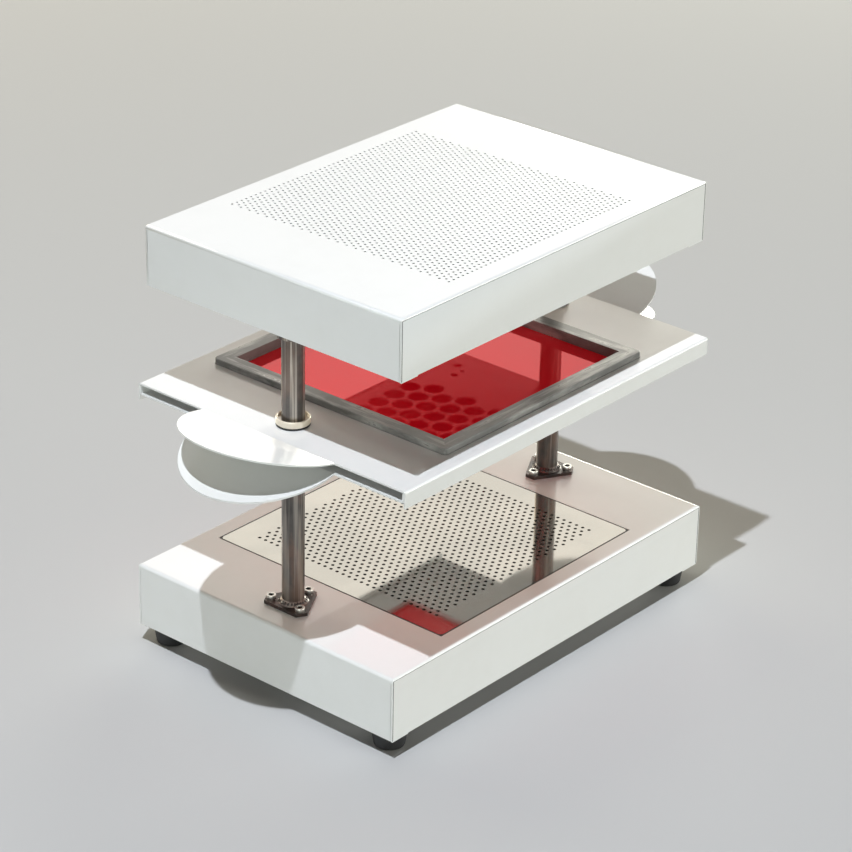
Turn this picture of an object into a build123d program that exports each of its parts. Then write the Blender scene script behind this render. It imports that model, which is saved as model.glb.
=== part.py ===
"""Hobby vacuum forming machine: a base with a perforated platen, a heater box on two posts,
and a carriage that slides on the posts and carries a clamped plastic sheet.

Millimetres. X runs from post to post, +Y is the back, +Z is up.
The origin lies on the table, under the middle of the machine.
"""
from math import cos, radians, sin, sqrt
import os

from build123d import *

# ---------------------------------------------------------------- driving dimensions
# Folded sheet boxes of the base and the heater
BASE_X = 410.0
BASE_Y = 286.0
BASE_H = 57.5
HEATER_X = 388.0
HEATER_Y = 274.0
HEATER_H = 53.0
SHEET = 1.5                    # sheet steel of the boxes, floors, tray and carriage
END_BEND = 3.0                 # outer bend radius along the short ends
LONG_BEND = 2.0                # outer bend radius along the long sides
LIP_WIDTH = 15.0               # return lips under the long sides
LIP_START = 25.0               # where a lip starts, from the box's corner
SEAM = 0.5                     # open corner seam between two folded walls
SEAM_TOP = 4.0                 # height left closed above a seam
FLOOR_INSET = 6.0              # closing plate, from the outside of the long sides
FLOOR_PLAY = 0.5               # closing plate, from the inside of the end walls

# Levels
FOOT_H = 17.0
CARRIAGE_RISE = 165.5          # from the base's top to the carriage's top, as in the photograph
HEATER_RISE = 255.0            # from the base's top to the heater's underside

# Feet
FOOT_TOP_D = 31.0
FOOT_BOTTOM_D = 26.0
FOOT_INSET = 19.0
FOOT_POCKET_D = 12.0
FOOT_POCKET_H = 9.0

# Screws
M5 = 5.0
M5_HEAD_D = 8.5
M5_HEAD_H = 3.5                 # low heads
M5_SOCKET = 4.0                # across the flats
M5_SOCKET_H = 2.5
M5_HOLE = 5.3
M5_NUT = 8.0                   # across the flats
M5_NUT_H = 4.0
M5_TIP = 2.0                   # thread standing out beyond a nut or a tapped plate
PAN_HEAD_H = 2.4

# Posts
POST_X = 167.0
TUBE_D = 19.0
TUBE_WALL = 1.6
PLATE_T = 3.0
PLATE_SIDE = 16.1              # post axis to a long side of the three-cornered plate
PLATE_CORNER = 23.6            # post axis to a cut-off corner
PLATE_HOLE_REACH = 18.65
WELD = 3.5
BACKING_T = 3.0
HEAD_BOSS_D = 27.0
HEAD_BOSS_H = 8.0
HEAD_PLAY = 0.05

# Platen and vacuum tray
CUTOUT = 252.0
PLATEN_PLAY = 0.8
PLATEN_T = 2.0
SEAL_T = 2.0
SEAL_WIDTH = 6.0
TRAY_WALL_IN = 238.0           # inside width of the tray below its ledge
TRAY_DEPTH = 43.5              # base top to the top of the tray's floor
TRAY_FLANGE = 12.0
SUPPORT_D = 12.0
SUPPORT_PITCH = 120.0
PLATEN_HOLE = 2.6
PLATEN_PITCH = 6.9
PLATEN_STEP = 5                # one hole in five each way; the finish adds the rest
PLATEN_CORNER = 4.0
PLATEN_ROWS = 7
PLATEN_COUNTS = (5, 6)         # holes in the middle row and in the rows beside it

# Vacuum socket in the back of the base
PORT_BORE = 32.0
PORT_TUBE_D = 36.0
PORT_FLANGE = 44.0
PORT_FLANGE_T = 3.0
PORT_DROP = 24.5               # base top to the socket's axis
PORT_PLAY = 0.3

# Heater
GRILLE_HOLE = 19.0
GRILLE_PITCH = 21.5
GRILLE_ROWS = 13
GRILLE_COUNTS = (11, 12)
SMALL_HOLES = ((170.5, 109.5, 8.2), (164.0, 98.5, 5.0), (153.0, 98.5, 7.8))
VENT_HOLE = 2.0
VENT_PITCH = 5.6
VENT_STEP = 7                  # one hole in seven each way; the finish adds the rest
VENT_ROWS = 7
VENT_COUNTS = (6, 5)
TUBE_COUNT = 4
TUBE_PITCH = 60.0
HEAT_TUBE_D = 10.0
HEAT_TUBE_LENGTH = 300.0
HEAT_TUBE_RISE = 14.0          # heater floor to a tube's axis
TUBE_END = 2.0                 # a tube's end beyond its holder
HOLDER_SIZE = 16.0
HOLDER_H = 22.0
HOLDER_PLAY = 0.2
REFLECTOR_T = 1.0
REFLECTOR_LENGTH = 262.0
REFLECTOR_TOP = 100.0          # half width at the top
REFLECTOR_FOOT = 124.0         # half width where it meets its feet
REFLECTOR_FLANGE = 9.0
REFLECTOR_H = 36.0
TERMINAL_GAP = 6.0             # from the tubes' ends
TERMINAL_Y = 70.0
TERMINAL_DEPTH = 14.0
TERMINAL_LENGTH = 40.0
TERMINAL_H = 16.0
TERMINAL_WAYS = 3
TERMINAL_WAY = 5.0

# Power inlet and switch in the back of the heater
INLET_X = 162.0
INLET_BODY = (27.0, 20.0)
INLET_FLANGE = (31.0, 24.0)
INLET_FLANGE_T = 2.5
INLET_DEPTH = 20.0
INLET_CAVITY = (24.0, 16.5)
INLET_CAVITY_DEPTH = 16.5
INLET_CORNER = 4.0
INLET_PIN = (2.0, 4.0)
INLET_PIN_LENGTH = 13.0
INLET_PIN_PITCH = 7.0
INLET_EARTH_RISE = 4.0
SWITCH_X = 118.0
SWITCH_BODY = (12.8, 18.8)
SWITCH_BEZEL = (15.0, 21.0)
SWITCH_BEZEL_T = 2.0
SWITCH_DEPTH = 18.0
SWITCH_WELL = (10.0, 16.0)
SWITCH_WELL_DEPTH = 9.0
ROCKER_WIDTH = 9.4
ROCKER_HALF = 7.0
ROCKER_RISE = 6.0              # pivot to the rocker's raised ends
ROCKER_DIP = 4.2               # pivot to the hollow middle
ROCKER_BACK = 3.0
ROCKER_TILT = 7.0
ROCKER_PIN_D = 3.0
ROCKER_PIN_LENGTH = 0.9
ROCKER_PIN_PLAY = 0.05
ROCKER_PIVOT_IN = 3.0          # pivot, inside the heater's back face
PANEL_PLAY = 0.2

# Carriage
CARRIAGE_X = 394.0
CARRIAGE_Y = 292.0
FLANGE_H = 15.0
LEVEL_GAP = 7.6                # clear height between the two sheets
CARRIAGE_BEND = 2.0
OPENING_CORNER = 4.0           # of the lower sheet
FORMING_OPENING = 230.0
POST_RELIEF = 26.0             # radius round each post in the lower sheet
TAB_R = 72.0
TOP_TAB_ANGLE = 13.0
LOW_TAB_ANGLE = -13.0
TAB_BEND = 5.0

# Bushes
BUSH_PLAY = 0.05
SLEEVE_D = 25.0
COLLAR_D = 29.0
COLLAR_H = 5.5
COLLAR_WELL_D = 24.0
COLLAR_WELL_H = 3.0
SEAT_RING_D = 32.0
SEAT_RING_T = 1.8
RING_NUT_D = 28.0
RING_NUT_T = 2.0
SLEEVE_PLAY = 0.15

# Plastic sheet and its clamp
BLANK = 250.0
BLANK_T = 1.5
GASKET_T = 3.1
FRAME_SIZE = 255.0
FRAME_CORNER = 3.5
FRAME_BAR = 13.5
FRAME_T = 9.2
FRAME_EDGE = 0.6
FRAME_PLAY = 0.5               # clamp frame to the edge of its opening
LOOSE = 0.3                    # air between pieces that only lie on each other

# ---------------------------------------------------------------- levels worked out from them
BASE_Z = FOOT_H
BASE_TOP = BASE_Z + BASE_H
HEATER_Z = BASE_TOP + HEATER_RISE
HEATER_TOP = HEATER_Z + HEATER_H
HEATER_FLOOR = HEATER_Z + SHEET
CARRIAGE_TOP = BASE_TOP + CARRIAGE_RISE
LOW_SHEET_TOP = CARRIAGE_TOP - SHEET - LEVEL_GAP
GASKET_TOP = LOW_SHEET_TOP + GASKET_T
BLANK_Z = GASKET_TOP + LOOSE
FRAME_Z = BLANK_Z + BLANK_T + LOOSE
FRAME_OPENING = FRAME_SIZE + 2 * FRAME_PLAY
ROW_GAP = sqrt(3) / 2          # row spacing of a triangular pattern of pitch 1
SIDES = {"left": -1, "right": 1}
POST_POINTS = [(side * POST_X, 0) for side in SIDES.values()]
BASE_BACK = Plane.XZ.offset(-BASE_Y / 2)
HEATER_BACK = Plane.XZ.offset(-HEATER_Y / 2)
THROUGH = 10 * SHEET
HEXAGON_SIDES = 6
FEW_SIDES = 6                  # of hidden holes, and of round ones that the finish makes again
SCREW_SIDES = 12


# ---------------------------------------------------------------- shared shapes
def rounded_block(size_x, size_y, z_low, z_high, end_radius, long_radius):
    """Block with both pairs of top edges rounded and its upright corners sharp, as folded."""
    with BuildPart() as block:
        with BuildSketch(Plane.XZ) as end_view:
            with Locations((0, (z_low + z_high) / 2)):
                Rectangle(size_x, z_high - z_low)
            fillet(end_view.vertices().group_by(Axis.Y)[-1], end_radius)
        extrude(amount=size_y / 2, both=True)
        with BuildSketch(Plane.YZ) as side_view:
            with Locations((0, (z_low + z_high) / 2)):
                Rectangle(size_y, z_high - z_low)
            fillet(side_view.vertices().group_by(Axis.Y)[-1], long_radius)
        extrude(amount=size_x / 2, both=True, mode=Mode.INTERSECT)
    return block.part


def folded_box(size_x, size_y, height, z_low):
    """Box of folded sheet, open below, with open corner seams and lips under its long sides."""
    z_high = z_low + height
    outside = rounded_block(size_x, size_y, z_low, z_high, END_BEND, LONG_BEND)
    inside = rounded_block(
        size_x - 2 * SHEET, size_y - 2 * SHEET, z_low, z_high - SHEET,
        END_BEND - SHEET, LONG_BEND - SHEET,
    )
    seam_pitch_x = size_x - SHEET
    seam_pitch_y = size_y - 2 * SHEET - SEAM
    with BuildPart() as box:
        add(outside)
        add(inside, mode=Mode.SUBTRACT)
        with BuildSketch(Plane.XY.offset(z_low + SHEET)):
            with GridLocations(0, size_y - LIP_WIDTH, 1, 2):
                Rectangle(size_x - 2 * LIP_START, LIP_WIDTH)
        extrude(amount=SHEET)
        with BuildSketch(Plane.XY.offset(z_low)):
            with GridLocations(seam_pitch_x, seam_pitch_y, 2, 2):
                Rectangle(2 * SHEET, SEAM)
        extrude(amount=height - SEAM_TOP, mode=Mode.SUBTRACT)
    return box.part


def staggered(pitch, rows, counts):
    """Centres (along, across) of staggered rows about the origin."""
    points = []
    for row in range(-(rows // 2), rows // 2 + 1):
        count = counts[row % 2]
        points += [((k - (count - 1) / 2) * pitch, row * pitch * ROW_GAP) for k in range(count)]
    return points


def clipped_triangle(turn):
    """Three-cornered plate outline with its corners cut off, one corner turned to an angle."""
    RegularPolygon(PLATE_SIDE, 3, major_radius=False, rotation=turn)
    RegularPolygon(PLATE_CORNER, 3, major_radius=False, rotation=turn + 180, mode=Mode.INTERSECT)


def inward(side):
    """Angle that points from a post to the middle of the machine."""
    return 180 if side > 0 else 0


def plate_screw_points():
    """Screw centres of both posts' plates."""
    points = []
    for side in SIDES.values():
        for k in range(3):
            angle = radians(inward(side) + 120 * k)
            points.append((side * POST_X + PLATE_HOLE_REACH * cos(angle), PLATE_HOLE_REACH * sin(angle)))
    return points


def screw_holes(points):
    """Sketch of clearance holes for M5 screws."""
    with Locations(*points):
        RegularPolygon(M5_HOLE / 2, FEW_SIDES, major_radius=False)


def socket_screws(points, z_seat, up, length):
    """Cap screws with hexagon sockets; the heads stand above their seat, or below it."""
    with BuildPart() as screws:
        with BuildSketch(Plane.XY.offset(z_seat)):
            with Locations(*points):
                RegularPolygon(M5_HEAD_D / 2, SCREW_SIDES)
        extrude(amount=up * M5_HEAD_H)
        with BuildSketch(Plane.XY.offset(z_seat)):
            with Locations(*points):
                RegularPolygon(M5 / 2, FEW_SIDES)
        extrude(amount=-up * length)
        with BuildSketch(Plane.XY.offset(z_seat + up * M5_HEAD_H)):
            with Locations(*points):
                RegularPolygon(M5_SOCKET / 2, HEXAGON_SIDES, major_radius=False)
        extrude(amount=-up * M5_SOCKET_H, mode=Mode.SUBTRACT)
    return screws


def hand_tab(side, z_middle, angle):
    """Half-round tab on one end of a carriage sheet, bent up or down."""
    x_bend = side * CARRIAGE_X / 2
    reach = side * 2 * TAB_R
    with BuildPart() as tab:
        with BuildSketch(Plane.XZ):
            with BuildLine():
                FilletPolyline(
                    (x_bend - side * TAB_BEND, z_middle),
                    (x_bend, z_middle),
                    (x_bend + reach * cos(radians(angle)), z_middle + abs(reach) * sin(radians(angle))),
                    radius=TAB_BEND,
                )
            trace(line_width=SHEET)
        extrude(amount=TAB_R, both=True)
        with BuildSketch():
            with Locations((x_bend, 0)):
                Circle(TAB_R)
        extrude(amount=HEATER_TOP, mode=Mode.INTERSECT)
    return tab.part


CORNERS = [(-1, -1), (1, -1), (-1, 1), (1, 1)]
FOOT_POINTS = [(i * (BASE_X / 2 - FOOT_INSET), j * (BASE_Y / 2 - FOOT_INSET)) for i, j in CORNERS]
pieces = {}

# ---------------------------------------------------------------- base
base_blank = folded_box(BASE_X, BASE_Y, BASE_H, BASE_Z)
with BuildPart() as base_shell:
    add(base_blank)
    with BuildSketch(Plane.XY.offset(BASE_TOP)):
        Rectangle(CUTOUT, CUTOUT)
        screw_holes(plate_screw_points())
    extrude(amount=-THROUGH, mode=Mode.SUBTRACT)
    with BuildSketch(BASE_BACK):
        with Locations((0, BASE_TOP - PORT_DROP)):
            Circle(PORT_TUBE_D / 2 + PORT_PLAY)
    extrude(amount=2 * SHEET, mode=Mode.SUBTRACT)
pieces["base_shell"] = base_shell


def closing_plate(size_x, size_y, z_low):
    """Plate under the lips of a box of the given size."""
    with BuildPart() as plate:
        with BuildSketch(Plane.XY.offset(z_low)):
            Rectangle(size_x - 2 * (SHEET + FLOOR_PLAY), size_y - 2 * FLOOR_INSET)
        extrude(amount=SHEET)
    return plate.part


base_plate = closing_plate(BASE_X, BASE_Y, BASE_Z)
with BuildPart() as base_floor:
    add(base_plate)
    with BuildSketch(Plane.XY.offset(BASE_Z)):
        screw_holes(FOOT_POINTS)
    extrude(amount=SHEET, mode=Mode.SUBTRACT)
pieces["base_floor"] = base_floor

with BuildPart() as feet:
    # Tapered round feet with a pocket for the screw's head
    for foot_x, foot_y in FOOT_POINTS:
        with BuildSketch(Plane((foot_x, foot_y, 0), x_dir=(1, 0, 0), z_dir=(0, -1, 0))):
            Polygon(
                (0, 0), (FOOT_BOTTOM_D / 2, 0), (FOOT_TOP_D / 2, FOOT_H), (0, FOOT_H), align=None
            )
        revolve(axis=Axis((foot_x, foot_y, 0), (0, 0, 1)))
    with BuildSketch():
        with Locations(*FOOT_POINTS):
            RegularPolygon(FOOT_POCKET_D / 2, SCREW_SIDES)
    extrude(amount=FOOT_POCKET_H, mode=Mode.SUBTRACT)
    with BuildSketch(Plane.XY.offset(FOOT_POCKET_H)):
        screw_holes(FOOT_POINTS)
    extrude(amount=FOOT_H - FOOT_POCKET_H, mode=Mode.SUBTRACT)
pieces["feet"] = feet

with BuildPart() as foot_screws:
    with BuildSketch(Plane.XY.offset(FOOT_POCKET_H)):
        with Locations(*FOOT_POINTS):
            RegularPolygon(M5_HEAD_D / 2, SCREW_SIDES)
    extrude(amount=-PAN_HEAD_H)
    with BuildSketch(Plane.XY.offset(FOOT_POCKET_H)):
        with Locations(*FOOT_POINTS):
            RegularPolygon(M5 / 2, FEW_SIDES)
    extrude(amount=FOOT_H - FOOT_POCKET_H + SHEET + M5_NUT_H + M5_TIP)
pieces["foot_screws"] = foot_screws

with BuildPart() as foot_nuts:
    with BuildSketch(Plane.XY.offset(BASE_Z + SHEET)):
        with Locations(*FOOT_POINTS):
            RegularPolygon(M5_NUT / 2, HEXAGON_SIDES, major_radius=False)
            RegularPolygon(M5_HOLE / 2, FEW_SIDES, major_radius=False, mode=Mode.SUBTRACT)
    extrude(amount=M5_NUT_H)
pieces["foot_nuts"] = foot_nuts

# ---------------------------------------------------------------- platen and vacuum tray
PLATEN = CUTOUT - 2 * PLATEN_PLAY
PLATEN_UNDER = BASE_TOP - PLATEN_T
LEDGE_TOP = PLATEN_UNDER - SEAL_T
TRAY_FLOOR = BASE_TOP - TRAY_DEPTH
TRAY_LEDGE_OUT = CUTOUT + 2 * SHEET

platen_points = [
    (across, along) for along, across in staggered(PLATEN_STEP * PLATEN_PITCH, PLATEN_ROWS, PLATEN_COUNTS)
]
with BuildPart() as platen:
    with BuildSketch(Plane.XY.offset(PLATEN_UNDER)):
        RectangleRounded(PLATEN, PLATEN, PLATEN_CORNER)
        with Locations(*platen_points):
            RegularPolygon(PLATEN_HOLE / 2, FEW_SIDES, mode=Mode.SUBTRACT)
    extrude(amount=PLATEN_T)
pieces["platen"] = platen

with BuildPart() as platen_seal:
    with BuildSketch(Plane.XY.offset(LEDGE_TOP)):
        Rectangle(PLATEN, PLATEN)
        Rectangle(PLATEN - 2 * SEAL_WIDTH, PLATEN - 2 * SEAL_WIDTH, mode=Mode.SUBTRACT)
    extrude(amount=SEAL_T)
pieces["platen_seal"] = platen_seal

with BuildPart() as vacuum_tray:
    # Flange under the base's top, riser, ledge for the seal, deep wall and floor
    with BuildSketch(Plane.XY.offset(BASE_TOP - 2 * SHEET)):
        Rectangle(CUTOUT + 2 * TRAY_FLANGE, CUTOUT + 2 * TRAY_FLANGE)
        Rectangle(CUTOUT, CUTOUT, mode=Mode.SUBTRACT)
    extrude(amount=SHEET)
    with BuildSketch(Plane.XY.offset(LEDGE_TOP - SHEET)):
        Rectangle(TRAY_LEDGE_OUT, TRAY_LEDGE_OUT)
        Rectangle(CUTOUT, CUTOUT, mode=Mode.SUBTRACT)
    extrude(amount=BASE_TOP - SHEET - LEDGE_TOP + SHEET)
    with BuildSketch(Plane.XY.offset(LEDGE_TOP - SHEET)):
        Rectangle(TRAY_LEDGE_OUT, TRAY_LEDGE_OUT)
        Rectangle(TRAY_WALL_IN, TRAY_WALL_IN, mode=Mode.SUBTRACT)
    extrude(amount=SHEET)
    with BuildSketch(Plane.XY.offset(TRAY_FLOOR - SHEET)):
        Rectangle(TRAY_WALL_IN + 2 * SHEET, TRAY_WALL_IN + 2 * SHEET)
    extrude(amount=SHEET)
    with BuildSketch(Plane.XY.offset(TRAY_FLOOR)):
        Rectangle(TRAY_WALL_IN + 2 * SHEET, TRAY_WALL_IN + 2 * SHEET)
        Rectangle(TRAY_WALL_IN, TRAY_WALL_IN, mode=Mode.SUBTRACT)
    extrude(amount=LEDGE_TOP - SHEET - TRAY_FLOOR)
    with BuildSketch(Plane.XZ.offset(-TRAY_WALL_IN / 2)):
        with Locations((0, BASE_TOP - PORT_DROP)):
            Circle(PORT_TUBE_D / 2 + PORT_PLAY)
    extrude(amount=-2 * SHEET, mode=Mode.SUBTRACT)
pieces["vacuum_tray"] = vacuum_tray

with BuildPart() as platen_supports:
    with BuildSketch(Plane.XY.offset(TRAY_FLOOR)):
        with GridLocations(SUPPORT_PITCH, SUPPORT_PITCH, 2, 2):
            RegularPolygon(SUPPORT_D / 2, HEXAGON_SIDES, major_radius=False)
    extrude(amount=PLATEN_UNDER - TRAY_FLOOR)
pieces["platen_supports"] = platen_supports

with BuildPart() as vacuum_port:
    with BuildSketch(BASE_BACK):
        with Locations((0, BASE_TOP - PORT_DROP)):
            Rectangle(PORT_FLANGE, PORT_FLANGE)
    extrude(amount=-PORT_FLANGE_T)
    with BuildSketch(BASE_BACK):
        with Locations((0, BASE_TOP - PORT_DROP)):
            Circle(PORT_TUBE_D / 2)
    extrude(amount=(BASE_Y - TRAY_WALL_IN) / 2)
    with BuildSketch(BASE_BACK.offset(-PORT_FLANGE_T)):
        with Locations((0, BASE_TOP - PORT_DROP)):
            Circle(PORT_BORE / 2)
    extrude(amount=BASE_Y / 2, mode=Mode.SUBTRACT)
pieces["vacuum_port"] = vacuum_port

# ---------------------------------------------------------------- posts
for name, side in SIDES.items():
    post_x = side * POST_X
    with BuildPart() as post:
        with BuildSketch(Plane((post_x, 0, BASE_TOP))):
            clipped_triangle(inward(side))
            with PolarLocations(PLATE_HOLE_REACH, 3, start_angle=inward(side)):
                RegularPolygon(M5_HOLE / 2, FEW_SIDES, major_radius=False, mode=Mode.SUBTRACT)
        extrude(amount=PLATE_T)
        with BuildSketch(Plane((post_x, 0, BASE_TOP))):
            Circle(TUBE_D / 2)
        extrude(amount=HEATER_RISE)
        # Weld bead in the corner between tube and plate
        around_tube = post.edges().filter_by(GeomType.CIRCLE).group_by(SortBy.RADIUS)[-1]
        chamfer(around_tube.sort_by(Axis.Z)[0], WELD)
        with BuildSketch(Plane((post_x, 0, BASE_TOP))):
            Circle(TUBE_D / 2 - TUBE_WALL)
        extrude(amount=HEATER_RISE, mode=Mode.SUBTRACT)
    pieces[f"post_{name}"] = post


def backing_plates(z_low, z_high):
    """Pair of three-cornered plates with tapped holes, behind the sheet that a post is screwed to."""
    plates = []
    for side in SIDES.values():
        with BuildPart() as plate:
            with BuildSketch(Plane((side * POST_X, 0, z_low))):
                clipped_triangle(inward(side))
                with PolarLocations(PLATE_HOLE_REACH, 3, start_angle=inward(side)):
                    RegularPolygon(M5_HOLE / 2, FEW_SIDES, major_radius=False, mode=Mode.SUBTRACT)
            extrude(amount=z_high - z_low)
        plates.append(plate.part)
    with BuildPart() as pair:
        add(plates)
    return pair


pieces["post_backings"] = backing_plates(BASE_TOP - SHEET - BACKING_T, BASE_TOP - SHEET)
pieces["head_backings"] = backing_plates(HEATER_FLOOR, HEATER_FLOOR + BACKING_T)

head_plates = backing_plates(HEATER_Z - PLATE_T, HEATER_Z).part
with BuildPart() as post_heads:
    add(head_plates)
    with BuildSketch(Plane.XY.offset(HEATER_Z)):
        with Locations(*POST_POINTS):
            Circle(HEAD_BOSS_D / 2)
    extrude(amount=-PLATE_T - HEAD_BOSS_H)
    with BuildSketch(Plane.XY.offset(HEATER_Z)):
        with Locations(*POST_POINTS):
            Circle(TUBE_D / 2 + HEAD_PLAY)
    extrude(amount=-PLATE_T - HEAD_BOSS_H, mode=Mode.SUBTRACT)
pieces["post_heads"] = post_heads

pieces["post_screws"] = socket_screws(
    plate_screw_points(), BASE_TOP + PLATE_T, 1, PLATE_T + SHEET + BACKING_T + M5_TIP
)
pieces["head_screws"] = socket_screws(
    plate_screw_points(), HEATER_Z - PLATE_T, -1, PLATE_T + SHEET + BACKING_T + M5_TIP
)

# ---------------------------------------------------------------- heater
HEATER_MIDDLE = HEATER_Z + HEATER_H / 2
heater_blank = folded_box(HEATER_X, HEATER_Y, HEATER_H, HEATER_Z)
with BuildPart() as heater_shell:
    add(heater_blank)
    with BuildSketch(Plane.XY.offset(HEATER_TOP)):
        with Locations(*staggered(VENT_STEP * VENT_PITCH, VENT_ROWS, VENT_COUNTS)):
            RegularPolygon(VENT_HOLE / 2, FEW_SIDES)
    extrude(amount=-THROUGH, mode=Mode.SUBTRACT)
    with BuildSketch(HEATER_BACK):
        with Locations((INLET_X, HEATER_MIDDLE)):
            Rectangle(INLET_BODY[0] + 2 * PANEL_PLAY, INLET_BODY[1] + 2 * PANEL_PLAY)
        with Locations((SWITCH_X, HEATER_MIDDLE)):
            Rectangle(SWITCH_BODY[0] + 2 * PANEL_PLAY, SWITCH_BODY[1] + 2 * PANEL_PLAY)
    extrude(amount=2 * SHEET, mode=Mode.SUBTRACT)
pieces["heater_shell"] = heater_shell

heater_plate = closing_plate(HEATER_X, HEATER_Y, HEATER_Z)
with BuildPart() as heater_floor:
    add(heater_plate)
    with BuildSketch(Plane.XY.offset(HEATER_Z)):
        with Locations(*staggered(GRILLE_PITCH, GRILLE_ROWS, GRILLE_COUNTS)):
            RegularPolygon(GRILLE_HOLE / 2, FEW_SIDES)
        screw_holes(plate_screw_points())
        for hole_x, hole_y, hole_d in SMALL_HOLES:
            with Locations((hole_x, hole_y)):
                Circle(hole_d / 2)
    extrude(amount=SHEET, mode=Mode.SUBTRACT)
pieces["heater_floor"] = heater_floor

HOLDER_X = HEAT_TUBE_LENGTH / 2 - TUBE_END - HOLDER_SIZE / 2
TERMINAL_X = (HEAT_TUBE_LENGTH + TERMINAL_DEPTH) / 2 + TERMINAL_GAP
tube_rows = [(k - (TUBE_COUNT - 1) / 2) * TUBE_PITCH for k in range(TUBE_COUNT)]
for number, row_y in enumerate(tube_rows, start=1):
    with BuildPart() as heating_tube:
        with BuildSketch(Plane.YZ):
            with Locations((row_y, HEATER_FLOOR + HEAT_TUBE_RISE)):
                Circle(HEAT_TUBE_D / 2)
        extrude(amount=HEAT_TUBE_LENGTH / 2, both=True)
    pieces[f"heating_tube_{number}"] = heating_tube

with BuildPart() as tube_holders:
    with BuildSketch(Plane.XY.offset(HEATER_FLOOR)):
        with GridLocations(2 * HOLDER_X, TUBE_PITCH, 2, TUBE_COUNT):
            Rectangle(HOLDER_SIZE, HOLDER_SIZE)
    extrude(amount=HOLDER_H)
    with BuildSketch(Plane.YZ):
        with Locations(*[(row_y, HEATER_FLOOR + HEAT_TUBE_RISE) for row_y in tube_rows]):
            RegularPolygon(HEAT_TUBE_D / 2 + HOLDER_PLAY, FEW_SIDES, major_radius=False)
    extrude(amount=HEAT_TUBE_LENGTH / 2, both=True, mode=Mode.SUBTRACT)
pieces["tube_holders"] = tube_holders

FLANGE_LEVEL = HEATER_FLOOR + SHEET + REFLECTOR_T / 2
with BuildPart() as reflector:
    with BuildSketch(Plane.YZ):
        with BuildLine():
            Polyline(
                (-REFLECTOR_FOOT - REFLECTOR_FLANGE, FLANGE_LEVEL),
                (-REFLECTOR_FOOT, FLANGE_LEVEL),
                (-REFLECTOR_TOP, FLANGE_LEVEL + REFLECTOR_H),
                (REFLECTOR_TOP, FLANGE_LEVEL + REFLECTOR_H),
                (REFLECTOR_FOOT, FLANGE_LEVEL),
                (REFLECTOR_FOOT + REFLECTOR_FLANGE, FLANGE_LEVEL),
            )
        trace(line_width=REFLECTOR_T)
    extrude(amount=REFLECTOR_LENGTH / 2, both=True)
pieces["reflector"] = reflector

with BuildPart() as terminal_block:
    with BuildSketch(Plane.XY.offset(HEATER_FLOOR)):
        with Locations((TERMINAL_X, TERMINAL_Y)):
            Rectangle(TERMINAL_DEPTH, TERMINAL_LENGTH)
    extrude(amount=TERMINAL_H)
    with BuildSketch(Plane.XY.offset(HEATER_FLOOR + TERMINAL_H)):
        with Locations((TERMINAL_X, TERMINAL_Y)):
            with GridLocations(0, TERMINAL_LENGTH / TERMINAL_WAYS, 1, TERMINAL_WAYS):
                Rectangle(TERMINAL_WAY, TERMINAL_WAY)
    extrude(amount=-TERMINAL_H / 2, mode=Mode.SUBTRACT)
pieces["terminal_block"] = terminal_block

with BuildPart() as power_inlet:
    with BuildSketch(HEATER_BACK):
        with Locations((INLET_X, HEATER_MIDDLE)):
            RectangleRounded(INLET_FLANGE[0], INLET_FLANGE[1], LONG_BEND)
    extrude(amount=-INLET_FLANGE_T)
    with BuildSketch(HEATER_BACK):
        with Locations((INLET_X, HEATER_MIDDLE)):
            Rectangle(INLET_BODY[0], INLET_BODY[1])
    extrude(amount=INLET_DEPTH)
    with BuildSketch(HEATER_BACK.offset(-INLET_FLANGE_T)) as inlet_mouth:
        with Locations((INLET_X, HEATER_MIDDLE)):
            Rectangle(INLET_CAVITY[0], INLET_CAVITY[1])
        chamfer(inlet_mouth.vertices().group_by(Axis.Y)[-1], INLET_CORNER)
    extrude(amount=INLET_CAVITY_DEPTH, mode=Mode.SUBTRACT)
pieces["power_inlet"] = power_inlet

INLET_BOTTOM = HEATER_BACK.offset(INLET_CAVITY_DEPTH - INLET_FLANGE_T)
with BuildPart() as inlet_pins:
    with BuildSketch(INLET_BOTTOM):
        with Locations((INLET_X, HEATER_MIDDLE)):
            with Locations((-INLET_PIN_PITCH, 0), (INLET_PIN_PITCH, 0), (0, INLET_EARTH_RISE)):
                Rectangle(INLET_PIN[0], INLET_PIN[1])
    extrude(amount=-INLET_PIN_LENGTH)
pieces["inlet_pins"] = inlet_pins

PIVOT = (SWITCH_X, HEATER_Y / 2 - ROCKER_PIVOT_IN, HEATER_MIDDLE)
ACROSS_SWITCH = Plane(PIVOT, x_dir=(0, 1, 0), z_dir=(1, 0, 0))
TIPPED = (0, cos(radians(ROCKER_TILT)), -sin(radians(ROCKER_TILT)))
ACROSS_ROCKER = Plane(PIVOT, x_dir=TIPPED, z_dir=(1, 0, 0))
with BuildPart() as switch_body:
    with BuildSketch(HEATER_BACK):
        with Locations((SWITCH_X, HEATER_MIDDLE)):
            RectangleRounded(SWITCH_BEZEL[0], SWITCH_BEZEL[1], LONG_BEND / 2)
    extrude(amount=-SWITCH_BEZEL_T)
    with BuildSketch(HEATER_BACK):
        with Locations((SWITCH_X, HEATER_MIDDLE)):
            Rectangle(SWITCH_BODY[0], SWITCH_BODY[1])
    extrude(amount=SWITCH_DEPTH)
    with BuildSketch(HEATER_BACK.offset(-SWITCH_BEZEL_T)):
        with Locations((SWITCH_X, HEATER_MIDDLE)):
            Rectangle(SWITCH_WELL[0], SWITCH_WELL[1])
    extrude(amount=SWITCH_WELL_DEPTH, mode=Mode.SUBTRACT)
    with BuildSketch(ACROSS_SWITCH):
        Circle(ROCKER_PIN_D / 2 + ROCKER_PIN_PLAY)
    extrude(amount=SWITCH_WELL[0] / 2 + ROCKER_PIN_LENGTH, both=True, mode=Mode.SUBTRACT)
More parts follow.
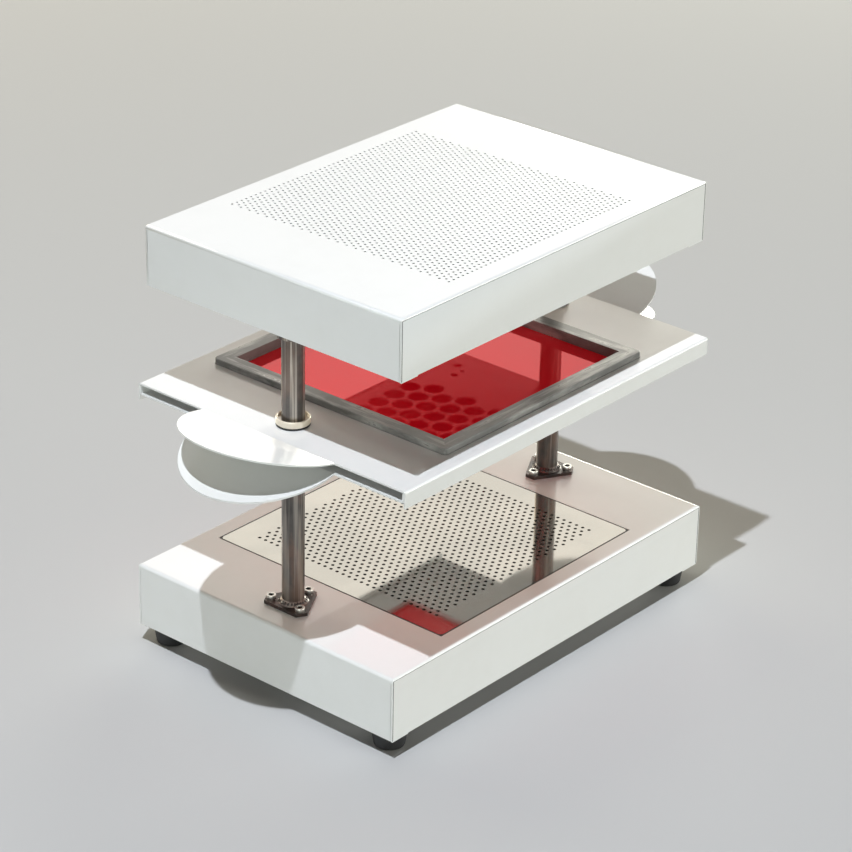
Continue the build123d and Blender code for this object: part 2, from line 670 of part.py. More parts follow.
pieces["switch_body"] = switch_body

with BuildPart() as switch_rocker:
    # Seen along the pivot: hollow face outside, narrow back inside, tipped to its off side
    with BuildSketch(ACROSS_ROCKER):
        Polygon(
            (-ROCKER_BACK, -ROCKER_HALF / 2), (ROCKER_PIN_D / 2, -ROCKER_HALF),
            (ROCKER_RISE, -ROCKER_HALF), (ROCKER_DIP, 0), (ROCKER_RISE, ROCKER_HALF),
            (ROCKER_PIN_D / 2, ROCKER_HALF), (-ROCKER_BACK, ROCKER_HALF / 2),
            align=None,
        )
    extrude(amount=ROCKER_WIDTH / 2, both=True)
    with BuildSketch(ACROSS_SWITCH):
        Circle(ROCKER_PIN_D / 2)
    extrude(amount=ROCKER_WIDTH / 2 + ROCKER_PIN_LENGTH, both=True)
pieces["switch_rocker"] = switch_rocker

# ---------------------------------------------------------------- carriage
top_tabs = [hand_tab(side, CARRIAGE_TOP - SHEET / 2, TOP_TAB_ANGLE) for side in SIDES.values()]
with BuildPart() as carriage_top:
    # Channel with its long sides folded down and its ends open
    with BuildSketch(Plane.YZ) as channel:
        with Locations((0, CARRIAGE_TOP - FLANGE_H / 2)):
            Rectangle(CARRIAGE_Y, FLANGE_H)
        fillet(channel.vertices().group_by(Axis.Y)[-1], CARRIAGE_BEND)
    extrude(amount=CARRIAGE_X / 2, both=True)
    with BuildSketch(Plane.YZ) as hollow:
        with Locations((0, CARRIAGE_TOP - SHEET - FLANGE_H / 2)):
            Rectangle(CARRIAGE_Y - 2 * SHEET, FLANGE_H)
        fillet(hollow.vertices().group_by(Axis.Y)[-1], CARRIAGE_BEND - SHEET)
    extrude(amount=CARRIAGE_X / 2, both=True, mode=Mode.SUBTRACT)
    add(top_tabs)
    with BuildSketch(Plane.XY.offset(CARRIAGE_TOP)):
        RectangleRounded(FRAME_OPENING, FRAME_OPENING, FRAME_CORNER + FRAME_PLAY)
        with Locations(*POST_POINTS):
            Circle(SLEEVE_D / 2 + SLEEVE_PLAY)
    extrude(amount=-SHEET, mode=Mode.SUBTRACT)
pieces["carriage_top"] = carriage_top

LOW_WIDTH = CARRIAGE_Y - 2 * SHEET
LOW_RISE = LEVEL_GAP + 2 * SHEET - CARRIAGE_BEND
low_tabs = [hand_tab(side, LOW_SHEET_TOP - SHEET / 2, LOW_TAB_ANGLE) for side in SIDES.values()]
with BuildPart() as carriage_bottom:
    # Channel with its long sides folded up, inside the upper one
    with BuildSketch(Plane.YZ) as channel:
        with Locations((0, LOW_SHEET_TOP - SHEET + LOW_RISE / 2)):
            Rectangle(LOW_WIDTH, LOW_RISE)
        fillet(channel.vertices().group_by(Axis.Y)[0], CARRIAGE_BEND)
    extrude(amount=CARRIAGE_X / 2, both=True)
    with BuildSketch(Plane.YZ) as hollow:
        with Locations((0, LOW_SHEET_TOP + LOW_RISE / 2)):
            Rectangle(LOW_WIDTH - 2 * SHEET, LOW_RISE)
        fillet(hollow.vertices().group_by(Axis.Y)[0], CARRIAGE_BEND - SHEET)
    extrude(amount=CARRIAGE_X / 2, both=True, mode=Mode.SUBTRACT)
    add(low_tabs)
    with BuildSketch(Plane.XY.offset(LOW_SHEET_TOP)):
        RectangleRounded(FORMING_OPENING, FORMING_OPENING, OPENING_CORNER)
        with Locations(*POST_POINTS):
            Circle(POST_RELIEF)
    extrude(amount=-SHEET, mode=Mode.SUBTRACT)
pieces["carriage_bottom"] = carriage_bottom

SEAT_TOP = CARRIAGE_TOP + SEAT_RING_T
SLEEVE_END = CARRIAGE_TOP - SHEET - RING_NUT_T
with BuildPart() as bushes:
    with BuildSketch(Plane.XY.offset(SLEEVE_END)):
        with Locations(*POST_POINTS):
            Circle(SLEEVE_D / 2)
    extrude(amount=SEAT_TOP - SLEEVE_END)
    with BuildSketch(Plane.XY.offset(SEAT_TOP)):
        with Locations(*POST_POINTS):
            Circle(COLLAR_D / 2)
    extrude(amount=COLLAR_H)
    with BuildSketch(Plane.XY.offset(SEAT_TOP + COLLAR_H)):
        with Locations(*POST_POINTS):
            Circle(COLLAR_WELL_D / 2)
    extrude(amount=-COLLAR_WELL_H, mode=Mode.SUBTRACT)
    with BuildSketch(Plane.XY.offset(SLEEVE_END)):
        with Locations(*POST_POINTS):
            Circle(TUBE_D / 2 + BUSH_PLAY)
    extrude(amount=THROUGH, mode=Mode.SUBTRACT)
pieces["bushes"] = bushes

with BuildPart() as bush_seats:
    with BuildSketch(Plane.XY.offset(CARRIAGE_TOP)):
        with Locations(*POST_POINTS):
            Circle(SEAT_RING_D / 2)
            Circle(SLEEVE_D / 2 + SLEEVE_PLAY, mode=Mode.SUBTRACT)
    extrude(amount=SEAT_RING_T)
pieces["bush_seats"] = bush_seats

with BuildPart() as bush_nuts:
    with BuildSketch(Plane.XY.offset(SLEEVE_END)):
        with Locations(*POST_POINTS):
            RegularPolygon(RING_NUT_D / 2, SCREW_SIDES)
            Circle(SLEEVE_D / 2 + SLEEVE_PLAY, mode=Mode.SUBTRACT)
    extrude(amount=RING_NUT_T)
pieces["bush_nuts"] = bush_nuts

with BuildPart() as sheet_gasket:
    with BuildSketch(Plane.XY.offset(LOW_SHEET_TOP)):
        Rectangle(BLANK, BLANK)
        Rectangle(FORMING_OPENING, FORMING_OPENING, mode=Mode.SUBTRACT)
    extrude(amount=GASKET_T)
pieces["sheet_gasket"] = sheet_gasket

with BuildPart() as plastic_sheet:
    with BuildSketch(Plane.XY.offset(BLANK_Z)):
        Rectangle(BLANK, BLANK)
    extrude(amount=BLANK_T)
pieces["plastic_sheet"] = plastic_sheet

with BuildPart() as clamp_frame:
    with BuildSketch(Plane.XY.offset(FRAME_Z)):
        RectangleRounded(FRAME_SIZE, FRAME_SIZE, FRAME_CORNER)
    extrude(amount=FRAME_T)
    chamfer(clamp_frame.edges().group_by(Axis.Z)[-1], FRAME_EDGE)
    with BuildSketch(Plane.XY.offset(FRAME_Z)):
        Rectangle(FRAME_SIZE - 2 * FRAME_BAR, FRAME_SIZE - 2 * FRAME_BAR)
    extrude(amount=FRAME_T, mode=Mode.SUBTRACT)
pieces["clamp_frame"] = clamp_frame

# ---------------------------------------------------------------- one file for each piece
os.makedirs("parts", exist_ok=True)
for node, piece in pieces.items():
    piece.part.label = node
    export_step(piece.part, f"parts/{node}.step")
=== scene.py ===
"""Dresses the vacuum forming machine: finishes for its metal, rubber and plastic, its full
perforations, small screws and weld beads, and a plain studio to show it in."""
from math import cos, pi, radians, sin, sqrt, tau

import bmesh
import bpy
from bpy.props import FloatProperty, FloatVectorProperty, IntProperty, PointerProperty
from mathutils import Matrix, Vector


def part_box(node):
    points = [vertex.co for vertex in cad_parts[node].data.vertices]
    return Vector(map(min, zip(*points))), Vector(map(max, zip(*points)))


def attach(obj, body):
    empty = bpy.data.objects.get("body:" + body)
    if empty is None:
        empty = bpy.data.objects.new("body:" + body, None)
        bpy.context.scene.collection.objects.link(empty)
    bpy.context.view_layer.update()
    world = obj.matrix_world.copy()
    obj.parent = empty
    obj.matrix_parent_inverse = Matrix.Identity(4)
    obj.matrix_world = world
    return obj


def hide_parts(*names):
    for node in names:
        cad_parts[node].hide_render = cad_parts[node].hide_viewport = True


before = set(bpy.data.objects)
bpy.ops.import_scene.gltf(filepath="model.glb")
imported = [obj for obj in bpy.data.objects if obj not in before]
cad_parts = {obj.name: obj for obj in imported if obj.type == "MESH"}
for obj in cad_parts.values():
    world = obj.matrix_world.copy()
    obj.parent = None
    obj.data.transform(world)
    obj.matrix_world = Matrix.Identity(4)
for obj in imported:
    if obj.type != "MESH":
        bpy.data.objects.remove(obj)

bl_info = {
    "name": "Vacuum former dressing",
    "version": (1, 0, 0),
    "blender": (4, 5, 0),
    "location": "View3D > Sidebar > Former",
    "description": "Finishes and fine pieces of a hobby vacuum forming machine",
    "category": "Object",
}

MM = 0.001
CARRIAGE = "carriage"
STAND = "stand"
CLEAR = 0.02 * MM              # lift of a laid-on piece, so that faces never share a plane


# ---------------------------------------------------------------- shader expressions
class Wire:
    """A socket in a finish's node tree that takes part in arithmetic."""

    def __init__(self, finish, socket):
        self.finish = finish
        self.socket = socket

    def _math(self, operation, *values):
        return self.finish.node("ShaderNodeMath", {"operation": operation}, *values)

    def __add__(self, other):
        return self._math("ADD", self, other)

    __radd__ = __add__

    def __sub__(self, other):
        return self._math("SUBTRACT", self, other)

    def __rsub__(self, other):
        return self._math("SUBTRACT", other, self)

    def __mul__(self, other):
        return self._math("MULTIPLY", self, other)

    __rmul__ = __mul__

    def __lt__(self, other):
        return self._math("LESS_THAN", self, other)

    def __gt__(self, other):
        return self._math("GREATER_THAN", self, other)

    def __abs__(self):
        return self._math("ABSOLUTE", self)


class Finish:
    """A procedural material built from expressions."""

    def __init__(self, name):
        self.material = bpy.data.materials.new(name)
        self.material.use_nodes = True
        self.tree = self.material.node_tree
        self.tree.nodes.clear()
        self.output = self.tree.nodes.new("ShaderNodeOutputMaterial")
        self.shader = self.tree.nodes.new("ShaderNodeBsdfPrincipled")
        self.tree.links.new(self.shader.outputs[0], self.output.inputs["Surface"])

    def _feed(self, socket, value):
        if isinstance(value, Wire):
            self.tree.links.new(value.socket, socket)
        elif socket.type == "RGBA" and len(value) == 3:
            socket.default_value = (*value, 1.0)
        else:
            socket.default_value = value

    def node(self, kind, settings, *values, out=0, **named):
        """Adds a node: its settings first, then values or wires by place or by name."""
        made = self.tree.nodes.new(kind)
        for key, setting in settings.items():
            if key == "stops":
                ramp = made.color_ramp
                while len(ramp.elements) < len(setting):
                    ramp.elements.new(1.0)
                for element, (place, colour) in zip(ramp.elements, setting):
                    element.position = place
                    element.color = (*colour, 1.0)
            else:
                setattr(made, key, setting)
        for place, value in enumerate(values):
            self._feed(made.inputs[place], value)
        for key, value in named.items():
            self._feed(made.inputs[key.replace("_", " ")], value)
        return Wire(self, made.outputs[out])

    def place(self, stretch=(1.0, 1.0, 1.0)):
        """Object coordinates in metres, each times its stretch."""
        here = self.node("ShaderNodeTexCoord", {}, out=3)
        return self.node("ShaderNodeMapping", {}, here, Scale=stretch)

    def along(self, axis):
        """One of the object coordinates: 0 for x, 1 for y, 2 for z."""
        return self.node("ShaderNodeSeparateXYZ", {}, self.place(), out=axis)

    def noise(self, scale, detail=3.0, roughness=0.55):
        """Noise of one scale, or of three that stretch it along the axes."""
        if isinstance(scale, tuple):
            where, scale = self.place(scale), 1.0
        else:
            where = self.place()
        return self.node(
            "ShaderNodeTexNoise", {}, Vector=where, Scale=scale, Detail=detail, Roughness=roughness
        )

    def ramp(self, factor, *stops):
        return self.node("ShaderNodeValToRGB", {"stops": stops}, factor)

    def grey_ramp(self, factor, *stops):
        """Ramp of plain levels, as a number."""
        return self.ramp(factor, *((place, (level,) * 3) for place, level in stops))

    def mix(self, factor, first, second):
        """Colour between two colours."""
        made = self.tree.nodes.new("ShaderNodeMix")
        made.data_type = "RGBA"
        for key, value in ((0, factor), (6, first), (7, second)):
            self._feed(made.inputs[key], value)
        return Wire(self, made.outputs[2])

    def bump(self, height, distance, strength=1.0):
        return self.node("ShaderNodeBump", {}, Height=height, Distance=distance, Strength=strength)

    def surface(self, **sockets):
        """Feeds the shader's sockets and gives the material."""
        for key, value in sockets.items():
            self._feed(self.shader.inputs[key.replace("_", " ")], value)
        return self.material


    def mottled(self, grain, dark, light, smooth, spread, **sockets):
        """A surface that fades between two colours with its grain, which also roughens it."""
        return self.surface(
            Base_Color=self.mix(grain, dark, light), Roughness=smooth + spread * grain, **sockets
        )


FINISHES = {}


def finish(make):
    """Makes each finish once, under its function's name."""
    def shared():
        name = make.__name__
        if name not in FINISHES:
            FINISHES[name] = make(Finish(name))
        return FINISHES[name]
    return shared


def colours():
    return bpy.context.scene.former_colours


def coated(f, white):
    """Powder coat: fine orange peel, faint handling marks and a warm cast in places."""
    cloud = f.noise(6.0, 4.0)
    smudge = f.grey_ramp(f.noise(22.0, 5.0, 0.65), (0.45, 0.0), (0.75, 1.0))
    base = f.mix(cloud * 0.35, tuple(white), tuple(colours().coat_warm))
    colour = f.mix(smudge * 0.10, base, (0.62, 0.61, 0.57))
    peel = f.noise(900.0, 2.0)
    return f.surface(
        Base_Color=colour,
        Roughness=0.36 + 0.12 * smudge,
        Normal=f.bump(peel, 0.00006, 0.35),
        Coat_Weight=0.80 + 0.15 * cloud,
        Coat_Roughness=0.05,
        Specular_IOR_Level=0.45,
    )


@finish
def powder_coat(f):
    """White powder coat of the base and the carriage, a paler copy of the heater box's white: the
    difference is painted light, making up for the key lamp's weaker light on these parts.
    """
    return coated(f, colours().coat)


@finish
def heated_coat(f):
    """The same coat on the heater's box, in the darker of its two copies; the base's and the carriage's
    copy is paler as painted light.
    """
    return coated(f, colours().coat_heated)


@finish
def platen_metal(f):
    """Polished sheet of the platen, nearly a mirror, with faint rolling lines and paler clouds."""
    along = f.noise((40.0, 900.0, 40.0), 3.0)
    cloud = f.noise(11.0, 5.0, 0.6)
    wiped = f.grey_ramp(cloud, (0.42, 0.0), (0.70, 1.0))
    colour = f.mix(wiped, (0.49, 0.485, 0.45), (0.62, 0.61, 0.56))
    return f.surface(
        Base_Color=colour,
        Metallic=0.93 - 0.12 * wiped,
        Roughness=0.025 + 0.03 * along + 0.03 * wiped,
        Normal=f.bump(along, 0.00001, 0.06),
    )


@finish
def cut_edge(f):
    """Near-black painted shade for the walls of punched holes, the open corner joints and the crease
    under a fold.
    """
    stain = f.noise(900.0, 2.0)
    return f.mottled(stain, (0.012, 0.012, 0.012), (0.035, 0.034, 0.032), 0.6, 0.1)


@finish
def tray_metal(f):
    """Dull galvanised sheet inside the machine."""
    spangle = f.node("ShaderNodeTexVoronoi", {}, Vector=f.place(), Scale=90.0, out=1)
    colour = f.mix(0.12, (0.46, 0.47, 0.48), spangle)
    return f.surface(Base_Color=colour, Metallic=0.8, Roughness=0.42 + 0.1 * f.noise(60.0))


@finish
def dark_steel(f):
    """Bare drawn tube: dark and brown rolled skin with long pale scuffs down its length."""
    streak = f.noise((330.0, 330.0, 5.0), 5.0, 0.62)
    fine = f.noise((900.0, 900.0, 30.0), 3.0)
    blotch = f.noise(70.0, 5.0, 0.65)
    rust = f.grey_ramp(f.noise((60.0, 60.0, 25.0), 4.0), (0.45, 0.0), (0.62, 1.0))
    scuff = f.grey_ramp(streak, (0.49, 0.0), (0.60, 1.0))
    level = f.along(2)
    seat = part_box("post_left")[0][2] + PLATE_T + CLEAR
    # Rubbed brighter where the carriage runs, and browned by the weld near the foot plate
    rubbed = f.grey_ramp((level - seat) * 3.5, (0.03, 0.0), (0.30, 0.45), (0.72, 1.0))
    skin = f.mix(rust, (0.065, 0.061, 0.06), (0.15, 0.098, 0.078))
    skin = f.mix(blotch * (0.3 + 0.4 * rubbed), skin, (0.24, 0.215, 0.195))
    tube = f.mix(scuff * (0.25 + 0.6 * fine) * (0.35 + 0.65 * rubbed), skin, (0.70, 0.64, 0.56))
    # The foot plate, lowest on the post, is darker and rustier than the tube
    plate = level < seat
    colour = f.mix(plate, tube, f.mix(rust, (0.045, 0.036, 0.034), (0.085, 0.052, 0.045)))
    return f.surface(
        Base_Color=colour,
        Metallic=0.85 - 0.25 * plate,
        Roughness=0.22 + 0.22 * blotch,
        Normal=f.bump(streak + blotch * 0.6, 0.00008, 0.5),
    )


@finish
def weld_metal(f):
    """Weld bead: rippled dark metal with pale patches in its colour that are painted glints."""
    heat = f.noise(260.0, 3.0)
    painted_glint = f.grey_ramp(heat, (0.60, 0.0), (0.70, 1.0))
    # Pale patches from the noise are painted highlights on the dark bead
    colour = f.mix(painted_glint, (0.05, 0.04, 0.037), (0.50, 0.46, 0.41))
    return f.surface(Base_Color=colour, Metallic=0.7, Roughness=0.34 + 0.2 * heat)


@finish
def zinc_plate(f):
    """Zinc-plated screws, a little dulled, with painted shade inside their hexagon sockets."""
    wear = f.noise(500.0, 3.0)
    socket = f.node("ShaderNodeAttribute", {"attribute_name": "socket"}, out=2)
    # Near black where the lathe marked a socket's inside: painted shade in the recess
    colour = f.mix(socket, f.mix(wear, (0.50, 0.49, 0.46), (0.72, 0.71, 0.67)), (0.01, 0.01, 0.011))
    return f.surface(Base_Color=colour, Metallic=0.95, Roughness=0.26 + 0.2 * wear)


@finish
def bronze(f):
    """Turned bronze with a cream bloom and fine turning rings."""
    ring = f.noise((60.0, 60.0, 2600.0), 2.0)
    bloom = f.noise(130.0, 4.0)
    return f.mottled(
        bloom, (0.74, 0.65, 0.50), (0.96, 0.90, 0.78), 0.28, 0.18, Metallic=0.5,
        Normal=f.bump(ring, 0.00003, 0.4),
    )


@finish
def black_ring(f):
    """Black washer under the bush."""
    grain = f.noise(700.0, 2.0)
    return f.mottled(grain, (0.012, 0.012, 0.013), (0.03, 0.03, 0.031), 0.45, 0.1)


@finish
def foot_rubber(f):
    """Matte black rubber with moulding grain and dust."""
    grain = f.noise(1400.0, 2.0)
    dust = f.grey_ramp(f.noise(90.0, 5.0, 0.7), (0.5, 0.0), (0.8, 1.0))
    colour = f.mix(dust * 0.25, (0.014, 0.014, 0.015), (0.10, 0.095, 0.09))
    return f.surface(
        Base_Color=colour, Roughness=0.62 + 0.2 * dust, Normal=f.bump(grain, 0.00005, 0.5)
    )


@finish
def silicone(f):
    """Milky silicone strip."""
    grain = f.noise(300.0, 3.0)
    return f.mottled(grain, (0.55, 0.53, 0.49), (0.66, 0.64, 0.60), 0.5, 0.1)


@finish
def clamp_grey(f):
    """Grey anodised bar, rubbed bright in long smears that follow each bar."""
    grain = f.noise((260.0, 260.0, 900.0), 3.0)
    along_x = abs(f.along(1)) > abs(f.along(0))
    rubbed = along_x * f.noise((16.0, 150.0, 60.0), 5.0, 0.6)
    rubbed = rubbed + (1.0 - along_x) * f.noise((150.0, 16.0, 60.0), 5.0, 0.6)
    smear = f.grey_ramp(rubbed, (0.47, 0.0), (0.66, 1.0))
    cloud = f.noise(22.0, 4.0)
    cloud = f.grey_ramp(cloud, (0.35, 0.0), (0.65, 1.0))
    colour = f.mix(cloud, (0.15, 0.15, 0.145), (0.25, 0.248, 0.24))
    colour = f.mix(smear * 0.65, colour, (0.62, 0.615, 0.59))
    return f.surface(
        Base_Color=colour,
        Metallic=0.4,
        Roughness=0.34 - 0.12 * smear + 0.1 * grain,
        Normal=f.bump(grain, 0.00003, 0.3),
    )


@finish
def red_sheet(f):
    """Deep red glossy plastic with a slow waviness. A faint glow stands for the daylight that comes
    through it from below."""
    slow = f.noise(14.0, 1.0)
    haze = f.noise(60.0, 4.0)
    colour = f.mix(haze * 0.3, tuple(colours().sheet_red), (0.97, 0.012, 0.03))
    return f.surface(
        Base_Color=colour,
        Emission_Color=colour,
        Emission_Strength=0.08,
        Metallic=0.28,
        Roughness=0.01 + 0.02 * haze,
        Normal=f.bump(slow, 0.0002, 0.015),
        Specular_IOR_Level=0.3,
    )


@finish
def black_moulding(f):
    """Fine-grained black plastic."""
    grain = f.noise(1200.0, 2.0)
    return f.mottled(
        grain, (0.016, 0.016, 0.017), (0.03, 0.03, 0.031), 0.38, 0.12,
        Normal=f.bump(grain, 0.00003, 0.4),
    )


@finish
def ceramic(f):
    """Unglazed cream ceramic."""
    grain = f.noise(260.0, 4.0)
    return f.mottled(
        grain, (0.68, 0.65, 0.57), (0.80, 0.77, 0.70), 0.7, 0.1, Normal=f.bump(grain, 0.00008, 0.4)
    )


@finish
def frosted_quartz(f):
    """Milky heating tube, dulled by heat."""
    cloud = f.noise((30.0, 200.0, 200.0), 3.0)
    return f.mottled(cloud, (0.16, 0.145, 0.13), (0.26, 0.24, 0.22), 0.3, 0.1)


@finish
def bright_sheet(f):
    """Rolled aluminium of the reflector, dulled by heat."""
    line = f.noise((30.0, 700.0, 700.0), 2.0)
    return f.mottled(line, (0.20, 0.195, 0.185), (0.34, 0.33, 0.315), 0.38, 0.12, Metallic=1.0)


@finish
def contact_brass(f):
    """Brass pins of the inlet."""
    wear = f.noise(400.0, 2.0)
    return f.mottled(wear, (0.55, 0.42, 0.20), (0.70, 0.56, 0.30), 0.25, 0.1, Metallic=1.0)


# ---------------------------------------------------------------- helpers for pieces
def coat(obj, material):
    """Gives an object one material in all its slots."""
    slots = obj.material_slots
    if not len(slots):
        obj.data.materials.append(material)
    for holder in slots:
        holder.material = material


def coat_nodes(material, *nodes):
    for node in nodes:
        coat(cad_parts[node], material)


def new_piece(name, mesh, body, material=None):
    """Links a finished mesh as a piece that rides on a body."""
    obj = bpy.data.objects.new(name, mesh)
    bpy.context.scene.collection.objects.link(obj)
    if material:
        coat(obj, material)
    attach(obj, body)
    return obj


def mesh_from(bm, name):
    mesh = bpy.data.meshes.new(name)
    bm.to_mesh(mesh)
    bm.free()
    return mesh


def shade(mesh, angle=35.0):
    """Smooth shading with sharp edges past an angle."""
    mesh.shade_smooth()
    mesh.set_sharp_from_angle(angle=radians(angle))


def lathe(profile, segments, hexagon=(), knurl=()):
    """Closed solid turned about Z from (radius, height) points; the numbered points of the profile
    that hexagon lists keep six flats, and those that knurl lists are notched all round. The points
    from the second flat one on are marked as the inside of a socket, which the finish fills with
    painted shade."""
    bm = bmesh.new()
    inside = bm.verts.layers.float.new("socket")
    rings = []
    for number, (radius, height) in enumerate(profile):
        if radius == 0.0:
            rings.append([bm.verts.new((0.0, 0.0, height))])
            continue
        ring = []
        for k in range(segments):
            angle = tau * k / segments
            reach = radius
            if number in hexagon:
                reach = radius / cos(angle % (pi / 3) - pi / 6)
            if number in knurl and k % 2:
                reach -= KNURL
            ring.append(bm.verts.new((reach * cos(angle), reach * sin(angle), height)))
        rings.append(ring)
    # Marks the socket's inside, which the zinc finish paints as shade
    if hexagon:
        for ring in rings[hexagon[-1]:]:
            for vert in ring:
                vert[inside] = 1.0
    for low, high in zip(rings, rings[1:]):
        for k in range(segments):
            following = (k + 1) % segments
            corners = [low[k % len(low)], low[following % len(low)]]
            corners += [high[following % len(high)], high[k % len(high)]]
            unique = list(dict.fromkeys(corners))
            if len(unique) > 2:
                bm.faces.new(unique)
    bmesh.ops.recalc_face_normals(bm, faces=bm.faces)
    return bm


KNURL = 0.12 * MM


def slab(bm, low, high):
    """Adds a closed block between two corners."""
    corners = [
        bm.verts.new((x, y, z)) for z in (low[2], high[2]) for y in (low[1], high[1])
        for x in (low[0], high[0])
    ]
    for face in ((0, 2, 3, 1), (4, 5, 7, 6), (0, 1, 5, 4), (2, 6, 7, 3), (0, 4, 6, 2), (1, 3, 7, 5)):
        bm.faces.new([corners[k] for k in face])


def hoop(name, rings):
    """Closed tube-like mesh through rings of corners, the last joined to the first."""
    bm = bmesh.new()
    for group_of_rings in rings:
        made = [[bm.verts.new(corner) for corner in ring] for ring in group_of_rings]
        for ring, following in zip(made, made[1:] + made[:1]):
            for k in range(len(ring)):
                nearby = (k + 1) % len(ring)
                bm.faces.new((ring[k], ring[nearby], following[nearby], following[k]))
    bmesh.ops.recalc_face_normals(bm, faces=bm.faces)
    return mesh_from(bm, name)


def in_metres(*points):
    """Profile points given in millimetres."""
    return [(radius * MM, height * MM) for radius, height in points]


# ---------------------------------------------------------------- node trees for what repeats
def group(name, inputs):
    """Geometry Nodes tree with its geometry sockets and named inputs."""
    tree = bpy.data.node_groups.new(name, "GeometryNodeTree")
    tree.is_modifier = True
    tree.interface.new_socket("Geometry", in_out="INPUT", socket_type="NodeSocketGeometry")
    for label, kind in inputs:
        tree.interface.new_socket(label, in_out="INPUT", socket_type=kind)
    tree.interface.new_socket("Geometry", in_out="OUTPUT", socket_type="NodeSocketGeometry")
    return tree


def feed(tree, socket, value):
    """Gives a socket a value or a wire from another socket."""
    if isinstance(value, bpy.types.NodeSocket):
        tree.links.new(value, socket)
    else:
        socket.default_value = value


def add(tree, kind, settings=None, **values):
    """Adds a geometry node, sets it and feeds its sockets."""
    made = tree.nodes.new(kind)
    for key, setting in (settings or {}).items():
        setattr(made, key, setting)
    for key, value in values.items():
        feed(tree, made.inputs[key.replace("_", " ")], value)
    return made


def number(tree, operation, first, second):
    made = add(tree, "ShaderNodeMath", {"operation": operation})
    feed(tree, made.inputs[0], first)
    feed(tree, made.inputs[1], second)
    return made.outputs[0]


def upright(tree, height):
    """Vector that points up by a height, or a turn about Z by an angle."""
    return add(tree, "ShaderNodeCombineXYZ", Z=height).outputs[0]


def joined(tree, *shapes):
    made = tree.nodes.new("GeometryNodeJoinGeometry")
    for shape in shapes:
        tree.links.new(shape, made.inputs[0])
    return made.outputs[0]


def closed_tree(tree, given, shape):
    """Ends a tree with real copies in the given material."""
    real = add(tree, "GeometryNodeRealizeInstances", Geometry=shape)
    painted = add(
        tree, "GeometryNodeSetMaterial", Geometry=real.outputs[0], Material=given["Material"]
    )
    out = tree.nodes.new("NodeGroupOutput")
    tree.links.new(painted.outputs[0], out.inputs[0])
    return tree


FLOAT = "NodeSocketFloat"
WHOLE = "NodeSocketInt"
WELD = 0.001 * MM              # points nearer than this are one


def perforation_tree():
    """A plate inside the loops of the base mesh, with round holes in staggered rows."""
    tree = group("Perforated plate", (
        ("Pitch", FLOAT), ("Hole", FLOAT), ("Sides", WHOLE), ("Thickness", FLOAT), ("Level", FLOAT),
        ("Turn", FLOAT), ("Middle holes", WHOLE), ("Middle rows", WHOLE), ("Next holes", WHOLE),
        ("Next rows", WHOLE), ("Material", "NodeSocketMaterial"),
    ))
    given = tree.nodes.new("NodeGroupInput").outputs
    row_gap = number(tree, "MULTIPLY", given["Pitch"], sqrt(3))
    grids = []
    for holes, rows in (("Middle holes", "Middle rows"), ("Next holes", "Next rows")):
        width = number(tree, "MULTIPLY", number(tree, "SUBTRACT", given[holes], 1), given["Pitch"])
        depth = number(tree, "MULTIPLY", number(tree, "SUBTRACT", given[rows], 1), row_gap)
        grid = add(
            tree, "GeometryNodeMeshGrid", Size_X=width, Size_Y=depth, Vertices_X=given[holes],
            Vertices_Y=given[rows],
        )
        grids.append(grid.outputs["Mesh"])
    ring = add(
        tree, "GeometryNodeCurvePrimitiveCircle", Resolution=given["Sides"],
        Radius=number(tree, "MULTIPLY", given["Hole"], 0.5),
    )
    rings = add(
        tree, "GeometryNodeInstanceOnPoints", Points=joined(tree, *grids),
        Instance=ring.outputs["Curve"],
    )
    loose = add(tree, "GeometryNodeRealizeInstances", Geometry=rings.outputs[0])
    field = add(
        tree, "GeometryNodeTransform", Geometry=loose.outputs[0],
        Rotation=upright(tree, given["Turn"]),
    )
    outline = add(tree, "GeometryNodeMeshToCurve", Mesh=given["Geometry"])
    loops = joined(tree, field.outputs[0], outline.outputs[0])
    sheet = add(tree, "GeometryNodeFillCurve", Curve=loops)
    low = add(
        tree, "GeometryNodeTransform", Geometry=sheet.outputs[0],
        Translation=upright(tree, given["Level"]),
    )
    raised = add(
        tree, "GeometryNodeExtrudeMesh", {"mode": "FACES"}, Mesh=low.outputs[0],
        Offset=upright(tree, 1.0), Offset_Scale=given["Thickness"], Individual=False,
    )
    under = add(tree, "GeometryNodeFlipFaces", Mesh=low.outputs[0])
    plate = joined(tree, raised.outputs["Mesh"], under.outputs[0])
    closed = add(tree, "GeometryNodeMergeByDistance", Geometry=plate, Distance=WELD)
    return closed_tree(tree, given, closed.outputs[0])


def scatter_tree():
    """Copies of one small solid on the base mesh's points, each turned to the point's facing."""
    tree = group("Fasteners", (("Fastener", "NodeSocketObject"), ("Material", "NodeSocketMaterial")))
    given = tree.nodes.new("NodeGroupInput").outputs
    facing = add(
        tree, "GeometryNodeInputNamedAttribute", {"data_type": "FLOAT_VECTOR"}, Name="facing"
    )
    turned = add(
        tree, "FunctionNodeAlignRotationToVector", {"axis": "Z"}, Vector=facing.outputs[0]
    )
    one = add(tree, "GeometryNodeObjectInfo", Object=given["Fastener"])
    many = add(
        tree, "GeometryNodeInstanceOnPoints", Points=given["Geometry"],
        Instance=one.outputs["Geometry"], Rotation=turned.outputs[0],
    )
    return closed_tree(tree, given, many.outputs[0])


TREES = {}


def tree_of(make):
    if make not in TREES:
        TREES[make] = make()
    return TREES[make]


